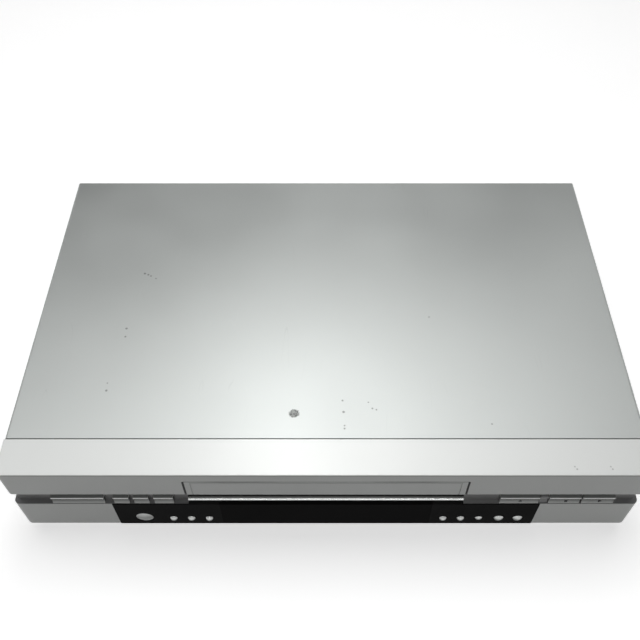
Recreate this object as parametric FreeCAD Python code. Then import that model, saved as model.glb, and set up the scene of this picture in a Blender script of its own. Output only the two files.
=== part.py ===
import FreeCAD, Part
import math
import os
from FreeCAD import Vector

# A home video cassette recorder: a silver cabinet around a helical-scan tape deck.
# Millimetres. X runs to the right, the front faces -Y, Z is up and the feet stand on Z = 0.

# Overall sizes
width = 430.0
height = 85.0
cover_depth = 251.6
band_depth = 26.8
foot_height = 8.0
dome_proud = 2.2
socket_proud = 7.0

# Sheet and wall thicknesses, and clearances
cover_wall = 0.9
panel_wall = 2.5
recess_wall = 2.0
base_wall = 1.6
plate_wall = 1.0
board_wall = 1.6
fit = 0.3
pin_fit = 0.05

# Front panel: a band that slopes to the front, an upper fascia, a slot and a lower fascia
corner_radius = 4.0
edge_radius = 0.6
panel_top_drop = 1.0
band_rear_drop = 0.3
panel_bottom_z = 10.5
panel_bottom_run = 16.0
upper_fascia_height = 27.5
slot_height = 14.8
slot_depth = 3.4
strip_wall = 1.6
strip_ledge = 0.4
slot_side_run = 14.0
seam_gap = 0.6

# Black display window, let into the lower fascia
fascia_end = 67.7
window_wall = 2.5
window_sill = 0.0
window_proud = 0.4
display_margin = 73.8

# Cassette and the door it passes
cassette_width = 187.0
cassette_depth = 103.0
cassette_height = 25.0
cassette_rise = 2.2
door_half = 94.1
door_top_drop = 9.5
door_wall = 2.2
door_pin_radius = 1.2
door_pin_depth = 3.0
door_pin_drop = 1.6
door_ear = 5.0
lip_top_drop = 7.1
lip_fall = 1.2
lip_wall = 1.7
lip_nose = 0.6

# Buttons: the face depth is counted back from the fascia
bar_height = 8.2
bar_nose = 0.9
bar_ridge = 1.7
bar_hollow = 1.5
bar_face_depth = 0.3
bar_travel = 0.8
dome_travel = 0.6
flange_wall = 1.2
flange_lap = 0.9
bar_side_lap = 0.4
board_depth = 14.0
switch_height = 3.5
plunger_height = 0.6
dome_row_drop = 64.7

# Deck: a pressed plate on bosses that carries the tape mechanism
deck_half = 99.0
deck_front_inset = 29.0
deck_length = 200.0
deck_top_z = 17.5
deck_wall = 1.5
boss_radius = 4.0

# Planes worked out from the sizes above
total_depth = dome_proud + band_depth + cover_depth + socket_proud
half = width / 2
window_half = half - fascia_end
display_half = window_half - display_margin
front_y = -total_depth / 2 + dome_proud
seam_y = front_y + band_depth
rear_y = seam_y + cover_depth
panel_top_z = height - panel_top_drop
slot_top_z = panel_top_z - upper_fascia_height
slot_bottom_z = slot_top_z - slot_height
window_top_z = slot_bottom_z - 1.0
window_bottom_z = panel_bottom_z + window_sill
ceiling_z = height - cover_wall
floor_z = foot_height + base_wall
recess_depth = slot_depth + strip_wall
recess_wall_depth = recess_depth + recess_wall
door_opening_half = door_half + 0.5
door_top_z = panel_top_z - door_top_drop
door_bottom_z = slot_bottom_z + 0.6
pivot_y = front_y + door_pin_depth
pivot_z = door_top_z - door_pin_drop
board_y = front_y + board_depth
plunger_y = board_y - switch_height - plunger_height
deck_front_y = front_y + deck_front_inset
deck_rear_y = deck_front_y + deck_length


# Shape helpers

def block(x, y, z):
    """A box between (low, high) pairs along X, Y and Z."""
    return Part.makeBox(x[1] - x[0], y[1] - y[0], z[1] - z[0], Vector(x[0], y[0], z[0]))


def rod(radius, start, end):
    """A cylinder from one point to another."""
    foot = Vector(*start)
    axis = Vector(*end) - foot
    return Part.makeCylinder(radius, axis.Length, foot, axis)


def tube(outer, inner, start, end):
    """A pipe from one point to another."""
    return rod(outer, start, end).cut(rod(inner, start, end))


def cone(low_radius, high_radius, start, end):
    """A cone stub from one point to another."""
    foot = Vector(*start)
    axis = Vector(*end) - foot
    return Part.makeCone(low_radius, high_radius, axis.Length, foot, axis)


def sheet(points, run):
    """A flat outline through 3-D points, pushed along a vector."""
    corners = [Vector(*point) for point in points]
    face = Part.Face(Part.makePolygon(corners + corners[:1]))
    return face.extrude(Vector(*run))


def bar(profile, x):
    """A (depth, z) outline behind the fascia, run along X between (low, high)."""
    points = [(x[0], front_y + depth, z) for depth, z in profile]
    return sheet(points, (x[1] - x[0], 0, 0))


def curved_bar(start, stretches, x):
    """The same with curves: a stretch is its end, or a point on its arc and its end."""
    def place(point):
        return Vector(x[0], front_y + point[0], point[1])
    edges = []
    here = start
    for stretch in stretches:
        if len(stretch) == 1:
            edges.append(Part.makeLine(place(here), place(stretch[0])))
        else:
            edges.append(Part.Arc(place(here), place(stretch[0]), place(stretch[1])).toShape())
        here = stretch[-1]
    edges.append(Part.makeLine(place(here), place(start)))
    return Part.Face(Part.Wire(edges)).extrude(Vector(x[1] - x[0], 0, 0))


def plate(outline, z):
    """An (x, y) outline between (low, high) along Z."""
    points = [(x, y, z[0]) for x, y in outline]
    return sheet(points, (0, 0, z[1] - z[0]))


def mirror(shape):
    """The same shape on the other side of the middle."""
    return shape.mirror(Vector(0, 0, 0), Vector(1, 0, 0))


def join(shapes):
    """One solid made of touching or crossing shapes."""
    shapes = list(shapes)
    return shapes[0].fuse(shapes[1:]).removeSplitter()


def carve(shape, tools):
    """A shape less each tool."""
    return shape.cut(list(tools)).removeSplitter()


def round_edges(shape, radius, chosen):
    """Fillets on the edges whose middle point passes the test."""
    edges = [edge for edge in shape.Edges if chosen(edge.CenterOfMass, edge)]
    return shape.makeFillet(radius, edges)


def polar(radius, degrees, centre=(0.0, 0.0)):
    """A point on a circle in the XY plane."""
    angle = math.radians(degrees)
    return (centre[0] + radius * math.cos(angle), centre[1] + radius * math.sin(angle))


def save(name, *solids):
    """Write one node: a single solid, or a group of separate ones."""
    shape = solids[0] if len(solids) == 1 else Part.makeCompound(list(solids))
    shape.exportStep(os.path.join("parts", name + ".step"))


# Cabinet

def panel_outline(inset, back_y):
    """The front panel's plan, its two front corners rounded, inset on three sides."""
    radius = corner_radius - min(inset, corner_radius - 0.5)
    low_x = -half + inset
    high_x = half - inset
    low_y = front_y + inset
    slope = radius * (1 - math.sqrt(0.5))
    left = Part.Arc(Vector(low_x, low_y + radius, 0), Vector(low_x + slope, low_y + slope, 0),
                    Vector(low_x + radius, low_y, 0))
    right = Part.Arc(Vector(high_x - radius, low_y, 0), Vector(high_x - slope, low_y + slope, 0),
                     Vector(high_x, low_y + radius, 0))
    edges = [
        left.toShape(),
        Part.makeLine(Vector(low_x + radius, low_y, 0), Vector(high_x - radius, low_y, 0)),
        right.toShape(),
        Part.makeLine(Vector(high_x, low_y + radius, 0), Vector(high_x, back_y, 0)),
        Part.makeLine(Vector(high_x, back_y, 0), Vector(low_x, back_y, 0)),
        Part.makeLine(Vector(low_x, back_y, 0), Vector(low_x, low_y + radius, 0)),
    ]
    return Part.Face(Part.Wire(edges))


def panel_slab(inset, back_y, z):
    """The panel's plan between two heights."""
    slab = panel_outline(inset, back_y).extrude(Vector(0, 0, z[1] - z[0]))
    slab.translate(Vector(0, 0, z[0]))
    return slab


def slot_zone(inset, margin):
    """The slot's run round the front, as deep as the inset, with a margin above and below."""
    z = (slot_bottom_z - margin, slot_top_z + margin)
    back = front_y + slot_side_run
    return panel_slab(0, back, z).cut(panel_slab(inset, back + 1, z))


def front_panel():
    """The silver moulding, with its slot, window recess, door opening and button holes."""
    back = seam_y - seam_gap
    body = panel_slab(0, back, (panel_bottom_z, height))
    slope = [(-1, panel_top_z), (band_depth, height - band_rear_drop), (band_depth, height + 1),
             (-1, height + 1)]
    body = body.cut(bar(slope, (-half - 1, half + 1)))
    body = round_edges(body, edge_radius,
                       lambda mid, edge: mid.z > panel_top_z - 0.5 and mid.y < front_y + corner_radius)
    inner = half - panel_wall
    slot_inner = half - recess_wall_depth
    slot_floor = slot_bottom_z - recess_wall
    slot_roof = slot_top_z + recess_wall
    ceiling = panel_top_z - panel_wall
    side_back = front_y + slot_side_run + recess_wall
    window_back = front_y + window_wall + 0.1
    hollows = [
        block((-inner, inner), (front_y + panel_wall, back + 1), (slot_roof, ceiling)),
        block((-slot_inner, slot_inner), (front_y + recess_wall_depth, side_back + 1),
              (slot_floor - 1, slot_roof + 1)),
        block((-inner, inner), (side_back, back + 1), (slot_floor - 1, slot_roof + 1)),
        block((-inner, inner), (window_back + recess_wall, back + 1),
              (panel_bottom_z + recess_wall, slot_floor)),
        block((-inner, -window_half - recess_wall - 0.3), (front_y + panel_wall, back + 1),
              (panel_bottom_z + recess_wall, slot_floor)),
        block((window_half + recess_wall + 0.3, inner), (front_y + panel_wall, back + 1),
              (panel_bottom_z + recess_wall, slot_floor)),
        block((-inner, inner), (front_y + panel_bottom_run, back + 1),
              (panel_bottom_z - 1, panel_bottom_z + 3.0)),
    ]
    body = carve(body, hollows)
    ears = [hinge_ear(), mirror(hinge_ear())]
    body = join([body] + ears + panel_ribs() + board_posts())
    recess = block((-window_half - 0.2, window_half + 0.2), (front_y - 1, window_back),
                   (window_bottom_z - 0.2, slot_bottom_z))
    display = block((-display_half, display_half), (front_y, window_back + 3),
                    (window_bottom_z + 2.5, window_top_z - 3.0))
    opening = block((-door_opening_half, door_opening_half),
                    (front_y - 1, front_y + recess_wall_depth + 1),
                    (slot_bottom_z, door_top_z + 0.35))
    tools = [slot_zone(recess_depth + 0.1, 0), recess, display, opening, hinge_bores()]
    tools += [hole for hole in bar_holes(recess_wall_depth + 1)] + dome_holes(window_wall,
                                                                              window_wall + 3.0)
    return carve(body, tools)


def hinge_ear():
    """The block beside the door opening that holds one of the door's pins."""
    low = door_opening_half
    return block((low, low + door_ear), (front_y + panel_wall - 0.5, pivot_y + 4.0),
                 (slot_top_z + 1.0, pivot_z + 4.0))


def hinge_bores():
    """The pin holes in both ears."""
    reach = door_opening_half + door_ear - 0.6
    return rod(door_pin_radius + pin_fit, (-reach, pivot_y, pivot_z), (reach, pivot_y, pivot_z))


def board_posts():
    """Posts inside the panel that the front board screws to."""
    posts = []
    for x, wall, z in ((half - 30.0, panel_wall, panel_bottom_z + 13.0),
                       (display_half + 8.5, window_wall + 2.0, window_top_z - 5.0)):
        post = rod(2.5, (x, front_y + wall - 0.3, z),
                   (x, board_y, z)).cut(rod(1.0, (x, board_y - 6, z), (x, board_y + 1, z)))
        posts += [post, mirror(post)]
    return posts


def panel_ribs():
    """Stiffening ribs inside the upper fascia, beside the door."""
    ribs = []
    count = 4
    pitch = (half - door_opening_half - 20.0) / count
    for index in range(count):
        low = door_opening_half + 14.0 + pitch * index
        rib = block((low, low + 1.5), (front_y + panel_wall - 0.5, front_y + recess_wall_depth + 3.0),
                    (slot_top_z + 1.0, panel_top_z - panel_wall + 0.5))
        ribs += [rib, mirror(rib)]
    return ribs


def side_slots(count, low_z, reach_x):
    """Rows of cooling slots through one side wall."""
    slots = []
    for index in range(count):
        y = rear_y - 40.0 - 9.0 * index
        slots.append(block((reach_x - 8, reach_x + 8), (y, y + 3.0), (low_z, low_z + 14.0)))
    return slots


cover_half = half - 0.5
dimple_depth = 1.4
dimple_radius = 6.0
screw_radius = 1.4
screw_head_radius = 3.0
screw_head_height = 1.2
side_screw_z = 26.0
rear_lip = 11.0
rear_panel_y = rear_y - cover_wall - fit - plate_wall
side_screw_places = [seam_y + 40.0, rear_y - 28.0]
rear_screw_places = [-half * 0.55, half * 0.55]


def top_cover():
    """Folded sheet: a plain top, two sides with screw dimples and slots, and a rear lip."""
    bend = 2.0
    outer = block((-cover_half, cover_half), (seam_y, rear_y), (floor_z - 0.4, height))
    outer = round_edges(outer, bend,
                        lambda mid, edge: mid.z > height - 0.1 and abs(mid.x) > cover_half - 0.1)
    inner_half = cover_half - cover_wall
    inner = block((-inner_half, inner_half), (seam_y - 1, rear_y - cover_wall), (0, ceiling_z))
    inner = round_edges(inner, bend - cover_wall,
                        lambda mid, edge: mid.z > ceiling_z - 0.1 and abs(mid.x) > inner_half - 0.1)
    shell = outer.cut(inner)
    shell = shell.cut(block((-inner_half, inner_half), (rear_y - cover_wall - 1, rear_y + 1),
                            (0, height - rear_lip)))
    outside = []
    inside = []
    holes = []
    for y in side_screw_places:
        inside.append(rod(dimple_radius + cover_wall, (cover_half - 0.5, y, side_screw_z),
                          (cover_half - dimple_depth - cover_wall, y, side_screw_z)))
        outside.append(rod(dimple_radius, (cover_half + 1, y, side_screw_z),
                           (cover_half - dimple_depth, y, side_screw_z)))
        holes.append(rod(screw_radius + 0.2, (cover_half + 1, y, side_screw_z),
                         (cover_half - 9, y, side_screw_z)))
    for x in rear_screw_places:
        holes.append(rod(screw_radius + 0.2, (x, rear_y - 4, height - rear_lip / 2),
                         (x, rear_y + 1, height - rear_lip / 2)))
    shell = join([shell] + inside + [mirror(part) for part in inside])
    tools = outside + [mirror(part) for part in outside] + holes + [mirror(part) for part in holes[:2]]
    for low_z in (34.0, 54.0):
        slots = side_slots(9, low_z, cover_half)
        tools += slots + [mirror(slot) for slot in slots]
    return carve(shell, tools)


def screw(head, tip):
    """A pan-head screw from the top of its head to its tip."""
    start = Vector(*head)
    way = (Vector(*tip) - start).normalize()
    seat = start + way * screw_head_height
    cross = block((-0.35, 0.35), (-1.8, 1.8),
                  (-0.1, 0.6)).fuse(block((-1.8, 1.8), (-0.35, 0.35), (-0.1, 0.6)))
    cross.Placement = FreeCAD.Placement(start, FreeCAD.Rotation(Vector(0, 0, 1), way))
    body = rod(screw_head_radius, start, seat).fuse(rod(screw_radius, seat - way * 0.1, tip))
    return body.cut(cross).removeSplitter()


def cover_screws():
    """Two screws in each side and two in the rear lip."""
    screws = []
    head_x = cover_half - dimple_depth + screw_head_height
    for y in side_screw_places:
        side = screw((head_x, y, side_screw_z), (head_x - 9.0, y, side_screw_z))
        screws += [side, mirror(side)]
    for x in rear_screw_places:
        z = height - rear_lip / 2
        screws.append(screw((x, rear_y + screw_head_height, z), (x, rear_y - 7.0, z)))
    return screws


# Base, rear panel and feet

base_half = half - 3.0
base_front_y = front_y + 6.0
base_rear_y = rear_y - cover_wall - fit
flange_height = 34.0
front_flange_y = front_y + 17.6
front_flange_height = 11.0
foot_radius = 9.0
foot_places = [(-half + 50, front_y + 32), (half - 50, front_y + 32), (-half + 50, rear_y - 42),
               (half - 50, rear_y - 42)]
deck_boss_places = [(x, y) for x in (-deck_half + 7, deck_half - 7)
                    for y in (deck_front_y + 8, deck_rear_y - 8)]

# Boards stand beside and behind the deck
bay_margin = 5.0
board_z = floor_z + 9.0
main_front = front_y + 34.0
power_left = deck_half + 14.0
board_gap = 16.25
main_right = power_left - board_gap
power_front = front_y + 60.0
board_rear = rear_panel_y - 1.5
bay_left = -base_half + bay_margin
bay_right = base_half - bay_margin
step_y = deck_rear_y + 6.0
step_x = -deck_half - 6.0
main_boss_places = [(bay_left + 6, main_front + 6), (step_x - 6, main_front + 6),
                    (bay_left + 6, board_rear - 8),
                    (main_right - 6, board_rear - 8), (main_right - 6, step_y + 6)]
power_boss_places = [(power_left + 6, power_front + 6), (bay_right - 6, power_front + 6),
                     (power_left + 6, board_rear - 34), (bay_right - 6, board_rear - 34)]

# Rear sockets, seen from the front: aerial at the left, phono in the middle, mains at the right
phono_radius = 4.15
phono_bore = 1.65
phono_collar = 5.2
phono_pitch = 14.0
phono_x = -half * 0.26
phono_rows = (30.0, 44.0)
aerial_radius = 4.75
aerial_collar = 5.8
collar_proud = 0.6
aerial_x = -half * 0.69
aerial_rows = (28.0, 50.0)
inlet_x = half * 0.79
inlet_z = 27.0
inlet_half = 15.0
inlet_half_height = 9.0
phono_places = [(phono_x + phono_pitch * column, z) for column in (-1, 0, 1) for z in phono_rows]


def boss(x, y, top_z, radius=3.0):
    """A hollow post from the floor."""
    post = rod(radius, (x, y, floor_z - 0.4), (x, y, top_z))
    return post.cut(rod(1.2, (x, y, floor_z + 0.5), (x, y, top_z + 1)))


def floor_slots():
    """Cooling slots under both bays."""
    slots = []
    for index in range(9):
        for x, y in ((step_x - 62, front_y + 92), (power_left + 26, front_y + 112)):
            low = x + 5.5 * index
            slots.append(block((low, low + 2.5), (y, y + 44), (foot_height - 1, floor_z + 1)))
    return slots


def base_chassis():
    """The tray: floor, side flanges, front flange, bosses for the boards and the deck."""
    floor = block((-base_half, base_half), (base_front_y, base_rear_y), (foot_height, floor_z))
    side = block((base_half - base_wall, base_half), (seam_y + 1, rear_panel_y - 0.5),
                 (foot_height + 0.2, floor_z + flange_height))
    front = block((-base_half + 3, base_half - 3), (front_flange_y, front_flange_y + base_wall),
                  (foot_height + 0.2, floor_z + front_flange_height))
    posts = [boss(x, y, deck_top_z - deck_wall, boss_radius) for x, y in deck_boss_places]
    posts += [boss(x, y, board_z) for x, y in main_boss_places + power_boss_places]
    tray = join([floor, side, mirror(side), front] + posts)
    holes = floor_slots()
    for y in side_screw_places:
        hole = rod(screw_radius + pin_fit, (base_half - 4, y, side_screw_z),
                   (base_half + 1, y, side_screw_z))
        holes += [hole, mirror(hole)]
    for x, y in foot_places:
        holes.append(rod(2.2, (x, y, foot_height - 1), (x, y, floor_z + 1)))
    return carve(tray, holes)


def feet():
    """Four rubber feet, each with a hollow sole and a plug pressed into the floor."""
    group = []
    for x, y in foot_places:
        pad = cone(foot_radius - 1, foot_radius, (x, y, 0), (x, y, foot_height))
        plug = rod(2.15, (x, y, foot_height - 0.1), (x, y, floor_z + 0.8))
        hollow = rod(foot_radius - 3.5, (x, y, -1), (x, y, 2.0))
        group.append(carve(join([pad, plug]), [hollow]))
    return group


def rear_panel():
    """Steel sheet with its socket holes, the inlet's window, screw holes and a cooling grid."""
    low_y = rear_panel_y
    high_y = rear_panel_y + plate_wall
    panel = block((-base_half + 0.5, base_half - 0.5), (low_y, high_y), (floor_z, ceiling_z - fit))
    through = (low_y - 1, high_y + 1)
    holes = []
    for x, z in phono_places:
        holes.append(rod(phono_collar + fit, (x, through[0], z), (x, through[1], z)))
    for z in aerial_rows:
        holes.append(rod(aerial_collar + fit, (aerial_x, through[0], z), (aerial_x, through[1], z)))
    holes.append(block((inlet_x - inlet_half + 2, inlet_x + inlet_half - 2), through,
                       (inlet_z - inlet_half_height + 2, inlet_z + inlet_half_height - 2)))
    for x in rear_screw_places:
        z = height - rear_lip / 2
        holes.append(rod(screw_radius + pin_fit, (x, through[0], z), (x, through[1], z)))
    for index in range(12):
        low = half * 0.38 + 6.0 * index
        holes.append(block((low, low + 2.6), through, (46.0, 66.0)))
    return carve(panel, holes)


# Front trim, door and buttons

bar_low_z = slot_bottom_z + 0.6
bar_high_z = bar_low_z + bar_height
dome_row_z = panel_top_z - dome_row_drop
door_recess_top_z = slot_top_z - 0.3

# Bars in the slot: (side, outer end's distance from that side of the panel, length)
bars = {
    "power_button": (-1, 27.2, 36.0),
    "channel_down_button": (-1, 69.6, 10.5),
    "channel_up_button": (-1, 83.4, 10.2),
    "review_button": (-1, 97.3, 13.2),
    "eject_button": (1, 69.1, 26.7),
    "stop_button": (1, 41.0, 21.3),
    "play_button": (1, 17.6, 22.0),
}
spacer_bar = (1, 63.0, 5.4)

# Round buttons in the window: (side, distance from that end of the window, radius,
# how far it stands out, how far above the row)
domes = {
    "jog_button": (-1, 18.8, 6.1, 0.9, 1.3),
    "rewind_button": (-1, 39.2, 2.75, 2.0, 0.0),
    "pause_button": (-1, 51.8, 2.75, 2.0, 0.0),
    "forward_button": (-1, 64.5, 2.75, dome_proud, 0.0),
    "menu_button": (1, 64.3, 2.7, 2.0, 0.0),
    "speed_button": (1, 51.8, 2.7, 2.0, 0.0),
    "record_button": (1, 38.9, 2.65, 1.3, 0.0),
    "tracking_down_button": (1, 24.7, 3.5, 1.7, 0.0),
    "tracking_up_button": (1, 11.3, 3.5, 1.7, 0.0),
}


def bar_ends(spec):
    """A bar's (low, high) along X."""
    side, inset, length = spec
    outer = side * (half - inset)
    return tuple(sorted((outer, outer - side * length)))


def dome_centre(spec):
    """A round button's place along X and Z."""
    return spec[0] * (window_half - spec[1]), dome_row_z + spec[4]


def bar_holes(reach):
    """The openings that the bars move in, through everything less deep than the reach."""
    holes = []
    for spec in bars.values():
        low, high = bar_ends(spec)
        holes.append(block((low - fit, high + fit), (front_y - 1, front_y + reach),
                           (bar_low_z - fit, bar_high_z + fit)))
    return holes


def dome_holes(start, reach):
    """The bores that the round buttons move in."""
    holes = []
    for spec in domes.values():
        x, z = dome_centre(spec)
        holes.append(rod(spec[2] + fit, (x, front_y + start - 3, z), (x, front_y + reach, z)))
    return holes


def scooped_bar(face, back, z, x):
    """A bar with a rounded ridge along its top edge and a hollow front face below the ridge."""
    low_z, high_z = z
    ridge_z = high_z - bar_ridge
    slope = bar_nose * (1 - math.sqrt(0.5))
    outline = [
        [(face, low_z)],
        [(face + 0.75 * bar_hollow, (low_z + 2 * ridge_z) / 3), (face + bar_hollow, ridge_z - 0.3)],
        [(face, ridge_z)],
        [(face, high_z - bar_nose)],
        [(face + slope, high_z - slope), (face + bar_nose, high_z)],
        [(back, high_z)],
    ]
    return curved_bar((back, low_z), outline, x)


def slot_strip():
    """The dark lining of the slot: back wall, ledge and the spacer between eject and stop."""
    back = front_y + slot_side_run - 0.3
    low_z = slot_bottom_z + 0.05
    wall = panel_slab(slot_depth, back,
                      (low_z, slot_top_z - 0.15)).cut(panel_slab(recess_depth, back + 1,
                                                                 (low_z - 1, slot_top_z)))
    ledge = panel_slab(0.25, back,
                       (low_z, low_z + strip_ledge)).cut(panel_slab(recess_depth, back + 1,
                                                                    (low_z - 1, slot_top_z)))
    spacer = scooped_bar(bar_face_depth + 0.5, recess_depth, (low_z + 0.1, bar_high_z),
                         bar_ends(spacer_bar))
    strip = join([wall, ledge, spacer])
    gap = block((-door_opening_half - 0.05, door_opening_half + 0.05), (front_y - 1, front_y + 9),
                (low_z - 1, slot_top_z + 1))
    return carve(strip, bar_holes(recess_depth + 1) + [gap]).Solids


def display_window():
    """The black window plate with its button bores and a lip along the top."""
    flat = block((-window_half, window_half), (front_y - window_proud, front_y + window_wall),
                 (window_bottom_z, window_top_z + 0.85))
    return carve(flat, dome_holes(-1, window_wall + 1))


def cassette_door():
    """The silver flap: a flush upper plate, a set-back lower plate and the lip that juts from it."""
    x = (-door_half, door_half)
    upper = [(0, door_recess_top_z), (0, door_top_z - 0.6), (0.6, door_top_z),
             (door_pin_depth + door_pin_radius, door_top_z),
             (door_pin_depth + door_pin_radius, pivot_z - door_pin_radius),
             (door_wall, pivot_z - door_pin_radius - 2),
             (door_wall, door_recess_top_z + 1), (recess_depth + 0.4, door_recess_top_z - 0.6),
             (recess_depth + 0.4, door_bottom_z), (slot_depth, door_bottom_z),
             (slot_depth, door_recess_top_z)]
    flap = join([bar(upper, x), door_lip(x)])
    grooves = []
    for side in (-1, 1):
        centre = side * (door_half - 4.6)
        grooves.append(block((centre - 0.25, centre + 0.25), (front_y - 1, front_y + 0.35),
                             (door_recess_top_z - 1, door_top_z - 1.5)))
    grooves.append(block((-door_half + 4.35, door_half - 4.35), (front_y - 1, front_y + 0.35),
                         (door_top_z - 2.0, door_top_z - 1.5)))
    notch = block((door_half - 16, door_half - 9), (front_y + door_wall, front_y + 9),
                  (pivot_z - 4.5, door_top_z + 1))
    notch = notch.fuse(block((door_half - 16, door_half - 9), (front_y + 0.8, front_y + 9),
                             (pivot_z - 2.4, door_top_z + 1)))
    reach = door_opening_half + door_ear - 1.0
    pin = rod(door_pin_radius, (-reach, pivot_y, pivot_z), (-door_half + 1, pivot_y, pivot_z))
    long_pin = rod(door_pin_radius, (door_half - 18, pivot_y, pivot_z), (reach, pivot_y, pivot_z))
    return join([carve(flap, grooves + [notch]), pin, long_pin])


def door_lip(x):
    """A blade that juts from the set-back plate to the fascia, its edge rounded."""
    root_z = slot_top_z - lip_top_drop
    tip_z = root_z - lip_fall
    low_z = tip_z - lip_wall
    face = bar_face_depth
    outline = [
        [(face + lip_nose, low_z)],
        [(face, low_z + lip_nose), (face + lip_nose, tip_z)],
        [(slot_depth + 0.2, root_z)],
    ]
    return curved_bar((slot_depth + 0.2, low_z), outline, x)


def door_spring():
    """A coil round the door's long pin, one leg towards the door and one leg free at the back."""
    wire = 0.3
    mean = door_pin_radius + 0.45
    turns = 5
    pitch = 1.0
    start_x = door_half - 15.0
    door_leg = 1.9
    free_leg = 4.5
    helix = Part.makeHelix(pitch, pitch * turns, mean)
    helix.Placement = FreeCAD.Placement(Vector(start_x, pivot_y, pivot_z),
                                        FreeCAD.Rotation(Vector(0, 0, 1), Vector(1, 0, 0)))
    leg_z = pivot_z - mean
    end_x = start_x + pitch * turns
    legs = [
        rod(wire, (start_x, pivot_y - door_leg, leg_z), (start_x, pivot_y + wire, leg_z)),
        rod(wire, (end_x, pivot_y - wire, leg_z), (end_x, pivot_y + free_leg, leg_z)),
    ]
    return join([sweep_wire(helix, wire)] + legs)


def sweep_wire(path, radius):
    """A round wire along a path."""
    edge = path.Edges[0]
    start = edge.valueAt(edge.FirstParameter)
    way = edge.tangentAt(edge.FirstParameter)
    ring = Part.Wire([Part.makeCircle(radius, start, way)])
    return Part.Wire(path.Edges).makePipeShell([ring], True, True)


def bar_button(spec):
    """A slot button: rounded bar, flange behind the panel and a nib for its switch."""
    low, high = bar_ends(spec)
    back = recess_wall_depth + fit
    cap = scooped_bar(bar_face_depth, back + 0.1, (bar_low_z, bar_high_z), (low, high))
    flange = block((low - bar_side_lap, high + bar_side_lap),
                   (front_y + back, front_y + back + flange_wall),
                   (bar_low_z - flange_lap, bar_high_z + flange_lap))
    middle = (low + high) / 2
    z = (bar_low_z + bar_high_z) / 2
    nib = rod(1.5, (middle, front_y + back + 1, z), (middle, plunger_y - bar_travel - 0.2, z))
    return join([cap, flange, nib])


def dome_button(spec):
    """A window button: domed cap, flange behind the panel and a nib for its switch."""
    x, z = dome_centre(spec)
    radius, proud = spec[2:4]
    back = front_y + window_wall + 0.1 + 2.0 + fit
    sphere_radius = (radius * radius + proud * proud) / (2 * proud)
    barrel = rod(radius, (x, front_y - proud - 1, z), (x, back + 0.1, z))
    ball = Part.makeSphere(sphere_radius, Vector(x, front_y - proud + sphere_radius, z))
    deep = block((x - radius - 1, x + radius + 1), (front_y, back + 1),
                 (z - radius - 1, z + radius + 1))
    cap = barrel.common(ball.fuse(deep))
    flange = rod(radius + flange_lap, (x, back, z), (x, back + flange_wall, z))
    nib = rod(1.5, (x, back + 1, z), (x, plunger_y - dome_travel - 0.2, z))
    return join([cap, flange, nib])


# Boards, power supply and sockets

board_top = board_z + board_wall
display_tube_half = 50.0
display_tube_height = 20.0
display_tube_depth = 7.0
tuner_half = 22.0
tuner_length = 52.0
socket_tip_y = rear_y + socket_proud
collar_tip_y = rear_panel_y + plate_wall + collar_proud


def front_board():
    """The board behind the buttons, cut low in the middle for the cassette."""
    reach = half - 14.0
    middle = door_opening_half + 7.0
    low_z = panel_bottom_z + 3.5
    high_z = slot_top_z - 1.0
    dip_z = slot_bottom_z - 1.5
    outline = [(-reach, low_z), (reach, low_z), (reach, high_z), (middle, high_z), (middle, dip_z),
               (-middle, dip_z), (-middle, high_z), (-reach, high_z)]
    points = [(x, board_y, z) for x, z in outline]
    board = sheet(points, (0, board_wall, 0))
    sockets = [block((x - 9, x + 9), (board_y + board_wall - 0.1, board_y + board_wall + 3),
                     (low_z + 9, low_z + 14))
               for x in (-reach + 40, reach - 60)]
    return join([board] + sockets)


def key_switches():
    """One small switch with a round plunger in front of the board for every button."""
    switches = []
    bar_z = (bar_low_z + bar_high_z) / 2
    places = [(sum(bar_ends(spec)) / 2, bar_z) for spec in bars.values()]
    places += [dome_centre(spec) for spec in domes.values()]
    for x, z in places:
        case = block((x - 3, x + 3), (board_y - switch_height, board_y), (z - 3, z + 3))
        switches.append(case.fuse(rod(1.6, (x, plunger_y, z), (x, board_y - 1, z))).removeSplitter())
    return switches


def display_tube():
    """A flat glass display tube on two stands, behind the window's glossy middle."""
    back = board_y
    tube_back = back - 1.6
    middle = (window_bottom_z + window_top_z) / 2
    z = (middle - display_tube_height / 2, middle + display_tube_height / 2)
    glass = block((-display_tube_half, display_tube_half), (tube_back - display_tube_depth, tube_back),
                  z)
    glass = round_edges(glass, 0.8, lambda mid, edge: mid.y < tube_back - display_tube_depth + 0.1)
    nipple = rod(1.6, (display_tube_half - 0.5, tube_back - display_tube_depth / 2, middle),
                 (display_tube_half + 4, tube_back - display_tube_depth / 2, middle))
    stands = [block((x - 2, x + 2), (tube_back - 0.1, back), (z[0] + 1, z[1] - 1))
              for x in (-display_tube_half + 6, display_tube_half - 6)]
    return join([glass, nipple] + stands)


def main_board():
    """The L-shaped main board in the left bay and behind the deck."""
    outline = [(bay_left, main_front), (step_x, main_front), (step_x, step_y), (main_right, step_y),
               (main_right, board_rear), (bay_left, board_rear)]
    board = plate(outline, (board_z, board_top))
    return carve(board, [rod(1.3, (x, y, board_z - 1), (x, y, board_top + 1)) for x,
                         y in main_boss_places])


def chip(x, y, size_x, size_y, tall=2.4):
    """A flat chip on the main board."""
    body = block((x - size_x / 2, x + size_x / 2), (y - size_y / 2, y + size_y / 2),
                 (board_top, board_top + tall))
    return body.makeChamfer(0.4,
                            [edge for edge in body.Edges if edge.CenterOfMass.z > board_top
                             + tall - 0.1])


def can_capacitor(x, y, radius, tall):
    """A round electrolytic capacitor with a crimped ring."""
    body = rod(radius, (x, y, board_top), (x, y, board_top + tall))
    ring = tube(radius + 0.1, radius - 0.4, (x, y, board_top + 1.6), (x, y, board_top + 2.2))
    return body.cut(ring)


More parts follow.
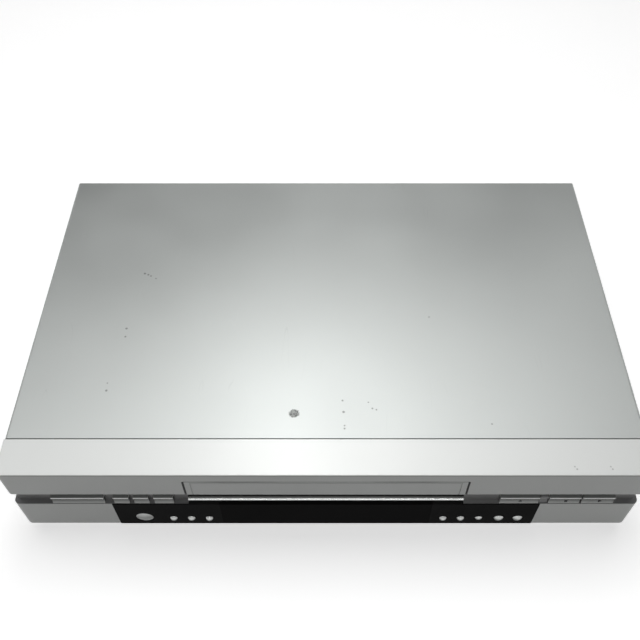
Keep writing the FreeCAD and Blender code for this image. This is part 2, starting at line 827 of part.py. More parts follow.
def main_parts():
    """What stands on the main board: chips, capacitors, a screening can and plugs."""
    bay_middle = (bay_left + step_x) / 2
    parts = [
        chip(bay_middle - 18, main_front + 42, 20, 20),
        chip(bay_middle + 20, main_front + 48, 14, 14),
        chip(bay_middle - 14, main_front + 84, 12, 30),
        chip(bay_middle + 22, main_front + 96, 10, 24),
        chip(phono_x, step_y + 11, 24, 10),
    ]
    for index in range(5):
        parts.append(can_capacitor(bay_middle - 34 + 15 * index, main_front + 16, 3.2, 11.0))
    for index in range(4):
        parts.append(can_capacitor(phono_x - 42 + 11 * index, board_rear - 16, 2.6, 9.0))
    can = block((step_x - 58, step_x - 14), (main_front + 124, main_front + 156),
                (board_top, board_top + 14))
    lid = block((step_x - 59, step_x - 13), (main_front + 123, main_front + 157),
                (board_top + 11, board_top + 14.6))
    parts.append(join([can, lid]))
    for y in (main_front + 112, main_front + 62):
        parts.append(block((step_x - 8, step_x - 3), (y, y + 16), (board_top, board_top + 7)))
    return parts


def phono_jack(x, z):
    """One phono barrel with its centre bore, from the housing out through the rear panel."""
    collar = rod(phono_collar, (x, rear_panel_y - 1, z), (x, collar_tip_y, z))
    barrel = collar.fuse(rod(phono_radius, (x, rear_panel_y, z), (x, socket_tip_y, z)))
    return barrel.cut(rod(phono_bore, (x, rear_panel_y + 0.5, z), (x, socket_tip_y + 1, z)))


def av_jacks():
    """Six phono sockets on one housing that stands on the main board's rear edge."""
    low_x = phono_x - phono_pitch - 8
    high_x = phono_x + phono_pitch + 8
    housing = block((low_x, high_x), (board_rear - 9, rear_panel_y), (board_top, phono_rows[1] + 8))
    return join([housing] + [phono_jack(x, z) for x, z in phono_places])


def tuner_module():
    """A screened can with two coaxial aerial sockets."""
    top_z = aerial_rows[1] + 9
    can = block((aerial_x - tuner_half, aerial_x + tuner_half),
                (rear_panel_y - tuner_length, rear_panel_y - 0.2), (board_top, top_z))
    lid_z = (top_z - 3, top_z + 0.6)
    lid = block((aerial_x - tuner_half - 0.6, aerial_x + tuner_half + 0.6),
                (rear_panel_y - tuner_length - 0.6, rear_panel_y - 0.2), lid_z)
    body = join([can, lid])
    for z in aerial_rows:
        collar = rod(aerial_collar, (aerial_x, rear_panel_y - 1, z), (aerial_x, collar_tip_y, z))
        shell = rod(aerial_radius, (aerial_x, rear_panel_y, z), (aerial_x, socket_tip_y, z))
        well = rod(aerial_radius - 0.9, (aerial_x, rear_panel_y + 0.2, z),
                   (aerial_x, socket_tip_y + 1, z))
        shell = collar.fuse(shell).cut(well)
        core = rod(1.2, (aerial_x, rear_panel_y - 1, z), (aerial_x, socket_tip_y - 1, z))
        body = join([body, shell, core])
    return body


def power_board():
    """The power board with its capacitors, heat sink and fuse clips."""
    board = block((power_left, bay_right), (power_front, board_rear - 20), (board_z, board_top))
    board = carve(board, [rod(1.3, (x, y, board_z - 1), (x, y, board_top + 1)) for x,
                          y in power_boss_places])
    sink_x = bay_right - 14
    fins = [block((sink_x, sink_x + 11), (power_front + 40 + 5 * index, power_front + 41.5 + 5 * index),
                  (board_top, board_top + 34))
            for index in range(9)]
    spine = block((sink_x - 1.5, sink_x + 0.1), (power_front + 40, power_front + 81.5),
                  (board_top, board_top + 34))
    parts = [board, join([spine] + fins)]
    parts.append(can_capacitor(power_left + 16, power_front + 24, 9.0, 30.0))
    parts.append(can_capacitor(power_left + 38, power_front + 20, 5.0, 20.0))
    parts.append(can_capacitor(power_left + 52, power_front + 20, 5.0, 20.0))
    parts.append(can_capacitor(power_left + 16, board_rear - 46, 4.0, 16.0))
    return parts


def transformer():
    """A ferrite-cored transformer: two core halves round a taped coil."""
    x = power_left + 30
    y = power_front + 62
    core = block((x - 18, x + 18), (y - 8, y + 8), (board_top + 3, board_top + 31))
    core = core.cut(block((x - 12, x + 12), (y - 9, y + 9), (board_top + 8, board_top + 26)))
    coil = round_edges(block((x - 11.7, x + 11.7), (y - 15, y + 15), (board_top + 8, board_top + 26)),
                       3.0,
                       lambda mid, edge: abs(abs(mid.y - y) - 15) < 0.1 and edge.Length > 15)
    base = block((x - 15, x + 15), (y - 14, y + 14), (board_top, board_top + 3))
    return join([core, coil, base])


def mains_inlet():
    """A two-pin inlet with a figure-of-eight recess, its flange behind the rear panel."""
    lobe = 4.3
    recess = 12.0
    tip = rear_y + 1.0
    body = block((inlet_x - inlet_half + 2.3, inlet_x + inlet_half - 2.3), (rear_panel_y - 8, tip),
                 (inlet_z - inlet_half_height + 2.3, inlet_z + inlet_half_height - 2.3))
    flange = block((inlet_x - inlet_half, inlet_x + inlet_half), (rear_panel_y - 2, rear_panel_y),
                   (inlet_z - inlet_half_height, inlet_z + inlet_half_height))
    lobes = [rod(lobe, (inlet_x + side * lobe, tip - recess + 3, inlet_z),
                 (inlet_x + side * lobe, tip + 1, inlet_z)) for side in (-1, 1)]
    waist = block((inlet_x - lobe, inlet_x + lobe), (tip - recess + 3, tip + 1),
                  (inlet_z - lobe + 1.2, inlet_z + lobe - 1.2))
    pins = [rod(1.2, (inlet_x + side * lobe, tip - recess + 2, inlet_z),
                (inlet_x + side * lobe, tip - 2, inlet_z)) for side in (-1, 1)]
    lead = block((inlet_x - 8, inlet_x + 8), (board_rear - 22.5, rear_panel_y - 7.9),
                 (board_top, inlet_z + 2))
    return join([carve(join([body, flange]), lobes + [waist]), lead] + pins)


# Tape mechanism

shaft_fit = 0.1
holder_travel = 62.0
loaded_setback = 36.0
loaded_rise = 6.5
cassette_rest_z = slot_bottom_z + cassette_rise
cassette_loaded_z = deck_top_z + loaded_rise
drop_travel = cassette_rest_z - cassette_loaded_z
loaded_front_y = front_y + loaded_setback
mouth_y = loaded_front_y + cassette_depth
rest_rear_y = mouth_y - holder_travel
under_deck_z = deck_top_z - deck_wall

# Reels: friction driven by an idler that swings on the clutch's axis
reel_half_pitch = 46.75
reel_setback = 59.0
reel_y = mouth_y - reel_setback
reel_radius = 20.0
reel_height = 16.5
reel_post_radius = 1.5
clutch_radius = 12.0
clutch_setback = 11.0
clutch_y = reel_y - clutch_setback
clutch_shaft_radius = 2.0
idler_gap = 0.3
idler_radius = 11.7
idler_reach = clutch_radius + idler_radius + idler_gap
wheel_z = (deck_top_z + 1.7, deck_top_z + 4.7)

# Drum, tilted about its middle
drum_radius = 31.0
drum_gap = 42.0
drum_y = mouth_y + drum_gap
drum_tilt = 5.0
drum_middle_z = deck_top_z + 11.5
lower_drum_height = 8.0
upper_drum_height = 16.5
drum_clearance = 0.4
drum_middle = (0.0, drum_y, drum_middle_z)
drum_axis = (math.sin(math.radians(drum_tilt)), 0.0, math.cos(math.radians(drum_tilt)))
tape_low_z = drum_middle_z + 1.5

# Capstan, its belt, and the pinch roller that swings on to it
capstan_radius = 1.5
capstan_x = 62.0
capstan_y = mouth_y + 16.6
flywheel_radius = 21.0
pulley_groove = 1.2
capstan_pulley_radius = 8.6
clutch_pulley_radius = 15.4
belt_wall = 0.8
belt_z = (floor_z + 1.15, floor_z + 2.25)
pinch_radius = 6.5
pinch_pivot = (92.0, mouth_y + 18.6)
pinch_rest = (76.9, mouth_y - 4.2)

# Tape guides on their slanted tracks
guide_start = (32.0, mouth_y - 6.4)
guide_end = (40.0, drum_y + 17.0)
guide_height = 27.0
guide_pin_radius = 1.9

# Tension arm, heads and loading drive
tension_pivot = (-84.0, mouth_y + 6.6)
tension_post = (-60.0, mouth_y - 5.4)
erase_place = (-60.0, mouth_y + 30.6)
audio_place = (61.0, mouth_y + 46.6)
cam_teeth = 36
cam_module = 1.0
cam_radius = cam_teeth * cam_module / 2
cam_place = (-72.0, mouth_y + 58.6)
cam_z = (deck_top_z + 7.0, deck_top_z + 11.0)
worm_radius = 3.2
worm_turns = 4
worm_axis_y = cam_place[1] + cam_radius + worm_radius
worm_axis_z = (cam_z[0] + cam_z[1]) / 2
motor_radius = 8.5
motor_x = (cam_place[0] + 18.0, cam_place[0] + 44.0)


def deck_plate():
    """The pressed deck: holes for shafts, slots for the guides, posts and a turned-up rear edge."""
    z = (under_deck_z, deck_top_z)
    deck = block((-deck_half, deck_half), (deck_front_y, deck_rear_y), z)
    deck = round_edges(deck, 6.0,
                       lambda mid, edge: abs(mid.z - (z[0] + z[1]) / 2) < 0.01 and abs(mid.x) > deck_half - 0.1
                       and edge.Length < deck_wall + 0.1)
    lip = block((-deck_half + 20, deck_half - 50), (deck_rear_y - deck_wall, deck_rear_y),
                (z[0], deck_top_z + 6))
    posts = []
    for x in (-reel_half_pitch, reel_half_pitch):
        posts.append(rod(reel_post_radius, (x, reel_y, z[0]),
                         (x, reel_y, deck_top_z + reel_height - 2)))
        posts.append(rod(3.2, (x, reel_y, z[0]), (x, reel_y, wheel_z[0] - fit)))
    for centre, radius, top_z in ((cam_place, 2.0, cam_z[1] + 2.0),
                                  (pinch_pivot, 2.0, deck_top_z + 12.0),
                                  (tension_pivot, 1.8, deck_top_z + 9.0)):
        posts.append(rod(radius, (centre[0], centre[1], z[0]), (centre[0], centre[1], top_z)))
        posts.append(rod(radius + 1.6, (centre[0], centre[1], z[0]),
                         (centre[0], centre[1], deck_top_z + 3.5)))
    bush = tube(4.0, clutch_shaft_radius + shaft_fit, (0, clutch_y, z[0] - 0.8),
                (0, clutch_y, deck_top_z + 1.5))
    bore = rod(clutch_shaft_radius + shaft_fit, (0, clutch_y, 0), (0, clutch_y, height))
    plate_body = carve(join([deck, lip] + posts), [bore])
    plate_body = join([plate_body, bush])
    holes = [guide_slot(), mirror(guide_slot()),
             rod(5.8, (capstan_x, capstan_y, 0), (capstan_x, capstan_y, height))]
    for x, y in deck_boss_places:
        holes.append(rod(1.5, (x, y, z[0] - 1), (x, y, z[1] + 1)))
    for x, y, size_x, size_y in ((0, reel_y + 34, 44, 12), (0, deck_front_y + 14, 60, 10)):
        holes.append(block((x - size_x / 2, x + size_x / 2), (y - size_y / 2, y + size_y / 2),
                           (z[0] - 1, z[1] + 1)))
    return carve(plate_body, holes)


def guide_slot():
    """The slot that the take-up guide's pin runs in."""
    radius = guide_pin_radius + fit
    ends = [rod(radius, (x, y, under_deck_z - 1), (x, y, deck_top_z + 1)) for x,
            y in (guide_start, guide_end)]
    run = Vector(guide_end[0] - guide_start[0], guide_end[1] - guide_start[1], 0)
    side = Vector(-run.y, run.x, 0).normalize() * radius
    start = Vector(*guide_start, 0)
    corners = [start + side, start + side + run, start - side + run, start - side]
    straight = plate([(corner.x, corner.y) for corner in corners], (under_deck_z - 1, deck_top_z + 1))
    return join([straight] + ends)


def reel(x):
    """A reel table: friction disc, hub, six driving splines and a tapered tip."""
    centre = (x, reel_y)
    top_z = deck_top_z + reel_height
    disc = rod(reel_radius, (x, reel_y, wheel_z[0]), (x, reel_y, wheel_z[1]))
    hub = rod(9.0, (x, reel_y, wheel_z[1] - 0.1), (x, reel_y, wheel_z[1] + 1.8))
    core = rod(5.0, (x, reel_y, wheel_z[1]), (x, reel_y, top_z))
    tip = cone(5.0, 3.0, (x, reel_y, top_z), (x, reel_y, top_z + 2.0))
    splines = []
    for index in range(6):
        spline = block((x + 4.0, x + 8.2), (reel_y - 0.9, reel_y + 0.9), (wheel_z[1], top_z - 3))
        spline.rotate(Vector(x, reel_y, 0), Vector(0, 0, 1), 60 * index)
        splines.append(spline)
    body = join([disc, hub, core, tip] + splines)
    bore = rod(reel_post_radius + shaft_fit, (x, reel_y, 0), (x, reel_y, top_z - 1.5))
    windows = []
    for index in range(6):
        spot = polar(14.0, 30 + 60 * index, centre)
        windows.append(rod(2.6, (spot[0], spot[1], wheel_z[0] - 1), (spot[0], spot[1], wheel_z[1] + 1)))
    return carve(body, [bore] + windows)


def grooved_pulley(radius, x, y):
    """A flat-bottomed belt pulley between the belt's two flanges."""
    low = belt_z[0] - 0.5
    high = belt_z[1] + 0.5
    body = rod(radius, (x, y, low), (x, y, high))
    ring = tube(radius + 1, radius - pulley_groove, (x, y, belt_z[0] - 0.05), (x, y, belt_z[1] + 0.05))
    return body.cut(ring)


def clutch_pulley():
    """Belt pulley under the deck, shaft through the bush and friction wheel above."""
    pulley = grooved_pulley(clutch_pulley_radius, 0, clutch_y)
    shaft = rod(clutch_shaft_radius, (0, clutch_y, belt_z[0]), (0, clutch_y, wheel_z[1] + 1.5))
    wheel = rod(clutch_radius, (0, clutch_y, wheel_z[0] + 0.2), (0, clutch_y, wheel_z[1]))
    cap = rod(5.0, (0, clutch_y, wheel_z[1] - 0.1), (0, clutch_y, wheel_z[1] + 1.0))
    return join([pulley, shaft, wheel, cap])


def loop_face(first, first_radius, second, second_radius, z):
    """The outline of a band round two discs, as a flat face."""
    run = Vector(second[0] - first[0], second[1] - first[1], 0)
    heading = math.degrees(math.atan2(run.y, run.x))
    lean = math.degrees(math.acos((first_radius - second_radius) / run.Length))
    spots = []
    for centre, radius, angles in ((first, first_radius, (lean, 180, -lean)),
                                   (second, second_radius, (-lean, 0, lean))):
        for angle in angles:
            x, y = polar(radius, heading + angle, centre)
            spots.append(Vector(x, y, z))
    edges = [Part.Arc(*spots[:3]).toShape(), Part.makeLine(spots[2], spots[3]),
             Part.Arc(*spots[3:]).toShape(), Part.makeLine(spots[5], spots[0])]
    return Part.Face(Part.Wire(edges))


def drive_belt():
    """The flat belt from the capstan's pulley to the clutch."""
    ends = []
    for wall in (0.15, 0.15 + belt_wall):
        face = loop_face((capstan_x, capstan_y), capstan_pulley_radius - pulley_groove + wall,
                         (0.0, clutch_y), clutch_pulley_radius - pulley_groove + wall, belt_z[0])
        ends.append(face.extrude(Vector(0, 0, belt_z[1] - belt_z[0])))
    return ends[1].cut(ends[0])


def idler_arm():
    """The arm round the clutch's bush, with the idler's axle at its end."""
    z = (deck_top_z + 0.3, deck_top_z + 1.3)
    axle_y = clutch_y + idler_reach
    ring = rod(6.5, (0, clutch_y, z[0]), (0, clutch_y, z[1]))
    beam = block((-3, 3), (clutch_y, axle_y), z)
    tip = rod(3.0, (0, axle_y, z[0]), (0, axle_y, z[1]))
    axle = rod(1.2, (0, axle_y, z[0]), (0, axle_y, wheel_z[1] + 1.0))
    return carve(join([ring, beam, tip, axle]),
                 [rod(4.0 + shaft_fit, (0, clutch_y, 0), (0, clutch_y, height))])


def idler_wheel():
    """The rubber-tyred wheel that carries the drive from the clutch to a reel."""
    y = clutch_y + idler_reach
    wheel = rod(idler_radius, (0, y, wheel_z[0]), (0, y, wheel_z[1]))
    dish = tube(idler_radius - 2.4, 3.0, (0, y, wheel_z[1] - 0.8), (0, y, wheel_z[1] + 1))
    return carve(wheel, [dish, rod(1.2 + shaft_fit, (0, y, 0), (0, y, height))])


def along_drum(distance):
    """A point on the drum's tilted axis."""
    return tuple(base + way * distance for base, way in zip(drum_middle, drum_axis))


def drum_base():
    """The casting and fixed lower drum, with the ledge that the tape's lower edge runs on."""
    foot = rod(drum_radius - 1.5, (0, drum_y, deck_top_z), (0, drum_y, deck_top_z + 3.5))
    ears = []
    for angle in (90, 250, 290):
        x, y = polar(drum_radius + 3.0, angle, (0, drum_y))
        ears.append(rod(5.0, (x, y, deck_top_z), (x, y, deck_top_z + 3.5)))
        inner_x, inner_y = polar(drum_radius - 6.0, angle, (0, drum_y))
        ears.append(rod(5.0, (inner_x, inner_y, deck_top_z), (inner_x, inner_y, deck_top_z + 3.5)))
    lower = rod(drum_radius, along_drum(-drum_middle_z + deck_top_z + 3.0),
                along_drum(lower_drum_height))
    band = rod(drum_radius + 0.5, along_drum(-drum_middle_z + deck_top_z + 3.0),
               along_drum(lower_drum_height - 1.0))
    level = block((-60, 60), (drum_y - 60, drum_y + 60), (tape_low_z, height))
    ledge = band.cut(level)
    body = join([foot, lower, ledge] + ears)
    bore = rod(3.2, along_drum(-4.0), along_drum(lower_drum_height + 1))
    screws = []
    for angle in (90, 250, 290):
        x, y = polar(drum_radius + 3.0, angle, (0, drum_y))
        screws.append(rod(1.6, (x, y, deck_top_z - 1), (x, y, deck_top_z + 5)))
    return carve(body, [bore] + screws)


def upper_drum():
    """The spinning upper drum: shaft, head windows, stepped top and balance holes."""
    start = lower_drum_height + drum_clearance
    top = start + upper_drum_height
    body = rod(drum_radius, along_drum(start), along_drum(top))
    shaft = rod(3.0, along_drum(-3.6), along_drum(start + 1))
    step = tube(drum_radius + 1, drum_radius - 9.0, along_drum(top - 2.5), along_drum(top + 1))
    body = join([body.cut(step), shaft])
    tools = [tube(16.0, 8.0, along_drum(top - 3.0), along_drum(top + 1))]
    way = Vector(*drum_axis)
    for index in range(4):
        angle = 45 + 90 * index
        window = block((drum_radius - 4, drum_radius + 1), (-2.2, 2.2), (start - 0.1, start + 2.2))
        hole = rod(1.8, (drum_radius - 4.5, 0, top - 5), (drum_radius - 4.5, 0, top))
        for tool in (window, hole):
            tool.rotate(Vector(0, 0, 0), Vector(0, 0, 1), angle)
            tool.Placement = FreeCAD.Placement(Vector(*drum_middle),
                                               FreeCAD.Rotation(Vector(0, 0, 1),
                                                                way)).multiply(tool.Placement)
            tools.append(tool)
    return carve(body, tools)


def capstan_motor():
    """The capstan's bearing housing with the stator plate and its coils under the deck."""
    x, y = capstan_x, capstan_y
    tower = rod(5.5, (x, y, under_deck_z - 1.4), (x, y, deck_top_z + 6.5))
    flange = rod(10.0, (x, y, deck_top_z), (x, y, deck_top_z + 1.5))
    collar = cone(8.0, 5.5, (x, y, deck_top_z + 1.5), (x, y, deck_top_z + 4.0))
    stator = rod(20.0, (x, y, under_deck_z - 1.4), (x, y, under_deck_z))
    return carve(join([tower, flange, collar, stator]),
                 [rod(capstan_radius + shaft_fit, (x, y, 0), (x, y, height))])


def capstan():
    """The capstan's shaft, flywheel rotor and pulley, which turn as one."""
    x, y = capstan_x, capstan_y
    pulley = grooved_pulley(capstan_pulley_radius, x, y)
    top = under_deck_z - 1.4 - fit
    rotor = rod(flywheel_radius, (x, y, belt_z[1] + 0.45), (x, y, top))
    shaft = rod(capstan_radius, (x, y, belt_z[0]), (x, y, deck_top_z + 28))
    return join([pulley, rotor, shaft])


def pinch_arm():
    """The lever that swings the pinch roller, with the roller's axle."""
    z = (deck_top_z + 7.5, deck_top_z + 9.0)
    pivot = rod(4.5, (*pinch_pivot, deck_top_z + 4.0), (*pinch_pivot, z[1]))
    end = rod(3.5, (*pinch_rest, z[0]), (*pinch_rest, z[1]))
    run = Vector(pinch_rest[0] - pinch_pivot[0], pinch_rest[1] - pinch_pivot[1], 0)
    side = Vector(-run.y, run.x, 0).normalize() * 3.2
    base = Vector(*pinch_pivot, 0)
    corners = [base + side, base + side + run, base - side + run, base - side]
    beam = plate([(corner.x, corner.y) for corner in corners], z)
    axle = rod(1.5, (*pinch_rest, z[0]), (*pinch_rest, z[1] + 17.5))
    cap = rod(2.6, (*pinch_rest, z[1] + 16.3), (*pinch_rest, z[1] + 17.5))
    return carve(join([pivot, end, beam, axle, cap]),
                 [rod(2.0 + shaft_fit, (*pinch_pivot, 0), (*pinch_pivot, height))])


def pinch_roller():
    """The rubber roller on its axle."""
    low = deck_top_z + 9.3
    roller = rod(pinch_radius, (*pinch_rest, low + 1), (*pinch_rest, low + 15))
    sleeve = rod(3.0, (*pinch_rest, low), (*pinch_rest, low + 15.6))
    return carve(join([roller, sleeve]),
                 [rod(1.5 + shaft_fit, (*pinch_rest, 0), (*pinch_rest, height))])


def tape_guide():
    """A guide: boat and pin in the slot, flanged roller and its leaning cap."""
    x, y = guide_start
    base_z = deck_top_z + 0.3
    boat = block((x - 4.5, x + 4.5), (y - 6, y + 6), (base_z, base_z + 4.0))
    boat = round_edges(boat, 2.0,
                       lambda mid, edge: abs(mid.z - base_z - 2.0) < 0.1 and edge.Length < 4.5)
    boat.rotate(Vector(x, y, 0), Vector(0, 0, 1),
                -math.degrees(math.atan2(guide_end[0] - x, guide_end[1] - y)))
    pin = rod(guide_pin_radius, (x, y, under_deck_z - 1.2), (x, y, base_z + 1))
    catch = rod(guide_pin_radius + 1.0, (x, y, under_deck_z - 1.2), (x, y, under_deck_z - 0.3))
    post = rod(1.6, (x, y, base_z + 3), (x, y, base_z + guide_height))
    low = tape_low_z - 2.2
    roller = rod(3.0, (x, y, low), (x, y, low + 15.0))
    flanges = [rod(4.0, (x, y, z), (x, y, z + 1.2)) for z in (low, low + 14.0)]
    return join([boat, pin, catch, post, roller] + flanges)


def tension_arm():
    """The bent arm with the tension post at its end."""
    z = (deck_top_z + 3.8, deck_top_z + 5.0)
    pivot = tube(4.0, 1.8 + shaft_fit, (*tension_pivot, z[0]), (*tension_pivot, deck_top_z + 8.0))
    run = Vector(tension_post[0] - tension_pivot[0], tension_post[1] - tension_pivot[1], 0)
    side = Vector(-run.y, run.x, 0).normalize() * 2.2
    base = Vector(*tension_pivot, 0)
    corners = [base + side, base + side + run, base - side + run, base - side]
    beam = plate([(corner.x, corner.y) for corner in corners], z)
    end = rod(2.6, (*tension_post, z[0]), (*tension_post, z[1]))
    post = rod(1.4, (*tension_post, z[0]), (*tension_post, deck_top_z + 27))
    sleeve = rod(2.4, (*tension_post, tape_low_z - 1.0), (*tension_post, tape_low_z + 13.0))
    bore = rod(1.8 + shaft_fit, (*tension_pivot, 0), (*tension_pivot, height))
    return carve(join([pivot, beam, end, post, sleeve]), [bore])


def head_block(place, face_half, tall, turn):
    """A tape head with a rounded face on its mounting plate and post."""
    x, y = place
    low = tape_low_z - 1.5
    base = block((x - 6, x + 6), (y - 5, y + 5), (deck_top_z, deck_top_z + 1.5))
    stem = rod(2.2, (x, y, deck_top_z + 1.4), (x, y, low + 0.1))
    body = block((x - face_half, x + face_half), (y - 3.5, y + 4), (low, low + tall))
    face = rod(face_half + 0.6, (x, y + 3.0, low + 1), (x, y + 3.0, low + tall - 1))
    face = face.common(block((x - face_half, x + face_half), (y - 6.5, y + 3), (low, low + tall)))
    head = join([base, stem, body, face])
    head.rotate(Vector(x, y, 0), Vector(0, 0, 1), turn)
    return head


def gear_outline(teeth, module, backlash):
    """Straight-flanked teeth as (radius, degrees) corners."""
    pitch = 360.0 / teeth
    radius = teeth * module / 2
    corners = []
    for index in range(teeth):
        middle = pitch * index
        for reach, share in ((-1.15, -0.32), (0.0, -0.25), (0.8, -0.13), (0.8, 0.13), (0.0, 0.25),
                             (-1.15, 0.32)):
            slack = math.degrees(backlash / radius) * (1 if share > 0 else -1)
            corners.append((radius + reach * module, middle + pitch * share - slack))
    return corners


def cam_gear():
    """The toothed cam: worm-wheel teeth, a hub and a spiral cam groove in its top."""
    corners = [polar(radius, degrees, cam_place) for radius,
               degrees in gear_outline(cam_teeth, cam_module, 0.2)]
    gear = plate(corners, cam_z)
    hub = rod(4.5, (*cam_place, deck_top_z + 4.0), (*cam_place, cam_z[1] + 1.0))
    groove = []
    count = 3
    for index in range(count):
        radius = cam_radius - 5.0 - 2.6 * index
        ring = tube(radius + 0.8, radius - 0.8, (*cam_place, cam_z[1] - 1.6),
                    (*cam_place, cam_z[1] + 0.5))
        wedge = block((cam_place[0] - 30, cam_place[0] + 30), (cam_place[1], cam_place[1] + 30),
                      (cam_z[0], cam_z[1] + 1))
        wedge.rotate(Vector(*cam_place, 0), Vector(0, 0, 1), 140 * index)
        groove.append(ring.common(wedge))
    return carve(join([gear, hub]),
                 groove + [rod(2.0 + shaft_fit, (*cam_place, 0), (*cam_place, height))])


def loading_motor():
    """The loading motor with its end boss, lying on the deck beside the cam."""
    y, z = worm_axis_y, worm_axis_z
    body = rod(motor_radius, (motor_x[0], y, z), (motor_x[1], y, z))
    rim = rod(3.0, (motor_x[0] - 1.5, y, z), (motor_x[0] + 0.1, y, z))
    terminals = [block((motor_x[1] - 0.1, motor_x[1] + 2.5), (y - 4 + 6 * index, y - 2 + 6 * index),
                       (z + 2, z + 3)) for index in (0, 1)]
    cradle = block((motor_x[0] + 3, motor_x[1] - 3), (y - 6, y + 6), (deck_top_z, z - 3))
    bore = rod(1.0 + shaft_fit, (motor_x[0] - 3, y, z), (motor_x[0] + 8, y, z))
    return carve(join([body, rim, cradle] + terminals), [bore])


def worm():
    """The single-start worm on the motor's shaft, a tooth gap facing the cam's tooth at rest."""
    y, z = worm_axis_y, worm_axis_z
    pitch = math.pi * cam_module
    start = cam_place[0] - 2.25 * pitch
    length = worm_turns * pitch
    root = worm_radius - 1.1 * cam_module
    tip = worm_radius + 0.7 * cam_module
    helix = Part.makeHelix(pitch, length, worm_radius)
    foot = root - 0.2
    foot_half = 0.66
    crest_half = 0.24
    corners = [Vector(foot, 0, -foot_half), Vector(tip, 0, -crest_half), Vector(tip, 0, crest_half),
               Vector(foot, 0, foot_half)]
    profile = Part.makePolygon(corners + corners[:1])
    thread = Part.Wire(helix.Edges).makePipeShell([profile], True, True)
    thread.Placement = FreeCAD.Placement(Vector(start, y, z),
                                         FreeCAD.Rotation(Vector(0, 0, 1), Vector(1, 0, 0)))
    core = rod(root, (start - 1.5, y, z), (start + length + 1.5, y, z))
    shaft = rod(1.0, (start - 4.5, y, z), (motor_x[0] + 7.0, y, z))
    return join([core, thread, shaft])


carriage_wall = 1.2
carriage_x = deck_half + 1.0
carriage_z = (deck_top_z, pivot_z + 3.0)
slide_inset = 1.8
slide_wall = 1.0
slide_x = carriage_x - slide_inset - slide_wall
slide_y = (rest_rear_y - 44.0, rest_rear_y - 2.0)
slide_pin_z = cassette_rest_z + 23.0
slide_pin_places = (slide_y[0] + 5.0, slide_y[1] - 5.0)
slide_pin_radius = 1.4
holder_wall = 0.8
holder_inner = cassette_width / 2 + 0.8
holder_pin_z = cassette_rest_z + 15.0
holder_pin_places = (slide_y[0] + 12.0, slide_y[1] - 12.0)
holder_front_y = front_y + 21.2
holder_wall_y = (rest_rear_y - 40.0, rest_rear_y)


def run_slot(y, z, radius, x):
    """A round-ended slot through a side plate, between (low, high) along Y and Z."""
    if z[0] == z[1]:
        straight = block(x, y, (z[0] - radius, z[1] + radius))
    else:
        straight = block(x, (y[0] - radius, y[1] + radius), z)
    ends = [rod(radius, (x[0], y[0], z[0]), (x[1], y[0], z[0])),
            rod(radius, (x[0], y[1], z[1]), (x[1], y[1], z[1]))]
    return join([straight] + ends)


def carriage_frame():
    """Two side plates with guide slots, footed on the deck and tied by a bridge."""
    x = (carriage_x, carriage_x + carriage_wall)
    side = block(x, (deck_front_y + 2, mouth_y + 6), carriage_z)
    foot = block((carriage_x - 12, x[1]), (deck_front_y + 14, mouth_y - 20),
                 (deck_top_z, deck_top_z + carriage_wall))
    slot = run_slot((slide_pin_places[0], slide_pin_places[1] + holder_travel),
                    (slide_pin_z, slide_pin_z),
                    slide_pin_radius + fit, (x[0] - 1, x[1] + 1))
    window = block((x[0] - 1, x[1] + 1), (deck_front_y + 24, mouth_y - 14),
                   (deck_top_z + 8, slide_pin_z - 10))
    side = carve(join([side, foot]), [slot, window])
    top_z = carriage_z[1]
    bridge = block((-x[1], x[1]), (mouth_y - 12, mouth_y + 6), (top_z - carriage_wall, top_z))
    rib = block((-x[1] + 10, x[1] - 10), (mouth_y - 12, mouth_y - 12 + carriage_wall),
                (top_z - carriage_wall, top_z + 2.5))
    return join([side, mirror(side), bridge, rib])


def lift_slides():
    """The two moving side plates: pins outward into the frame, upright slots for the holder."""
    x = (slide_x, slide_x + slide_wall)
    side = block(x, slide_y, (holder_pin_z - drop_travel - 4.5, slide_pin_z + 4.0))
    pins = [rod(slide_pin_radius, (x[0] + 0.1, y, slide_pin_z),
                (carriage_x + carriage_wall + 1.0, y, slide_pin_z)) for y in slide_pin_places]
    slots = [run_slot((y, y), (holder_pin_z - drop_travel, holder_pin_z), slide_pin_radius + fit,
                      (x[0] - 1, x[1] + 1))
             for y in holder_pin_places]
    side = carve(join([side] + pins), slots)
    return [side, mirror(side)]


def cassette_holder():
    """The sheet holder: side walls, ledges that carry the cassette, and a sprung top plate."""
    inner = holder_inner
    outer = inner + holder_wall
    low_z = cassette_rest_z - 0.2
    high_z = cassette_rest_z + cassette_height + 0.5
    wall = block((inner, outer), holder_wall_y, (low_z - holder_wall, high_z + holder_wall))
    ledge = block((inner - 16, outer), (holder_front_y, holder_wall_y[1] - 14),
                  (low_z - holder_wall, low_z))
    pins = [rod(slide_pin_radius, (inner + 0.1, y, holder_pin_z),
                (slide_x + slide_wall + 0.6, y, holder_pin_z)) for y in holder_pin_places]
    side = join([wall, ledge] + pins)
    top = block((-outer, outer), (holder_wall_y[0] + 5, holder_wall_y[1]),
                (high_z, high_z + holder_wall))
    fingers = []
    for centre in (-52.0, 52.0):
        for shift in (-7.0, 6.0):
            fingers.append(block((centre + shift, centre + shift + 1.0),
                                 (holder_wall_y[0] + 12, holder_wall_y[1] - 6),
                                 (high_z - 1, high_z + 2)))
        fingers.append(block((centre - 7, centre + 7), (holder_wall_y[0] + 11, holder_wall_y[0] + 12),
                             (high_z - 1, high_z + 2)))
    fingers.append(block((-20, 20), (holder_wall_y[0] + 10, holder_wall_y[1] - 8),
                         (high_z - 1, high_z + 2)))
    top = carve(top, fingers)
    return join([side, mirror(side), top])


# Writing the nodes

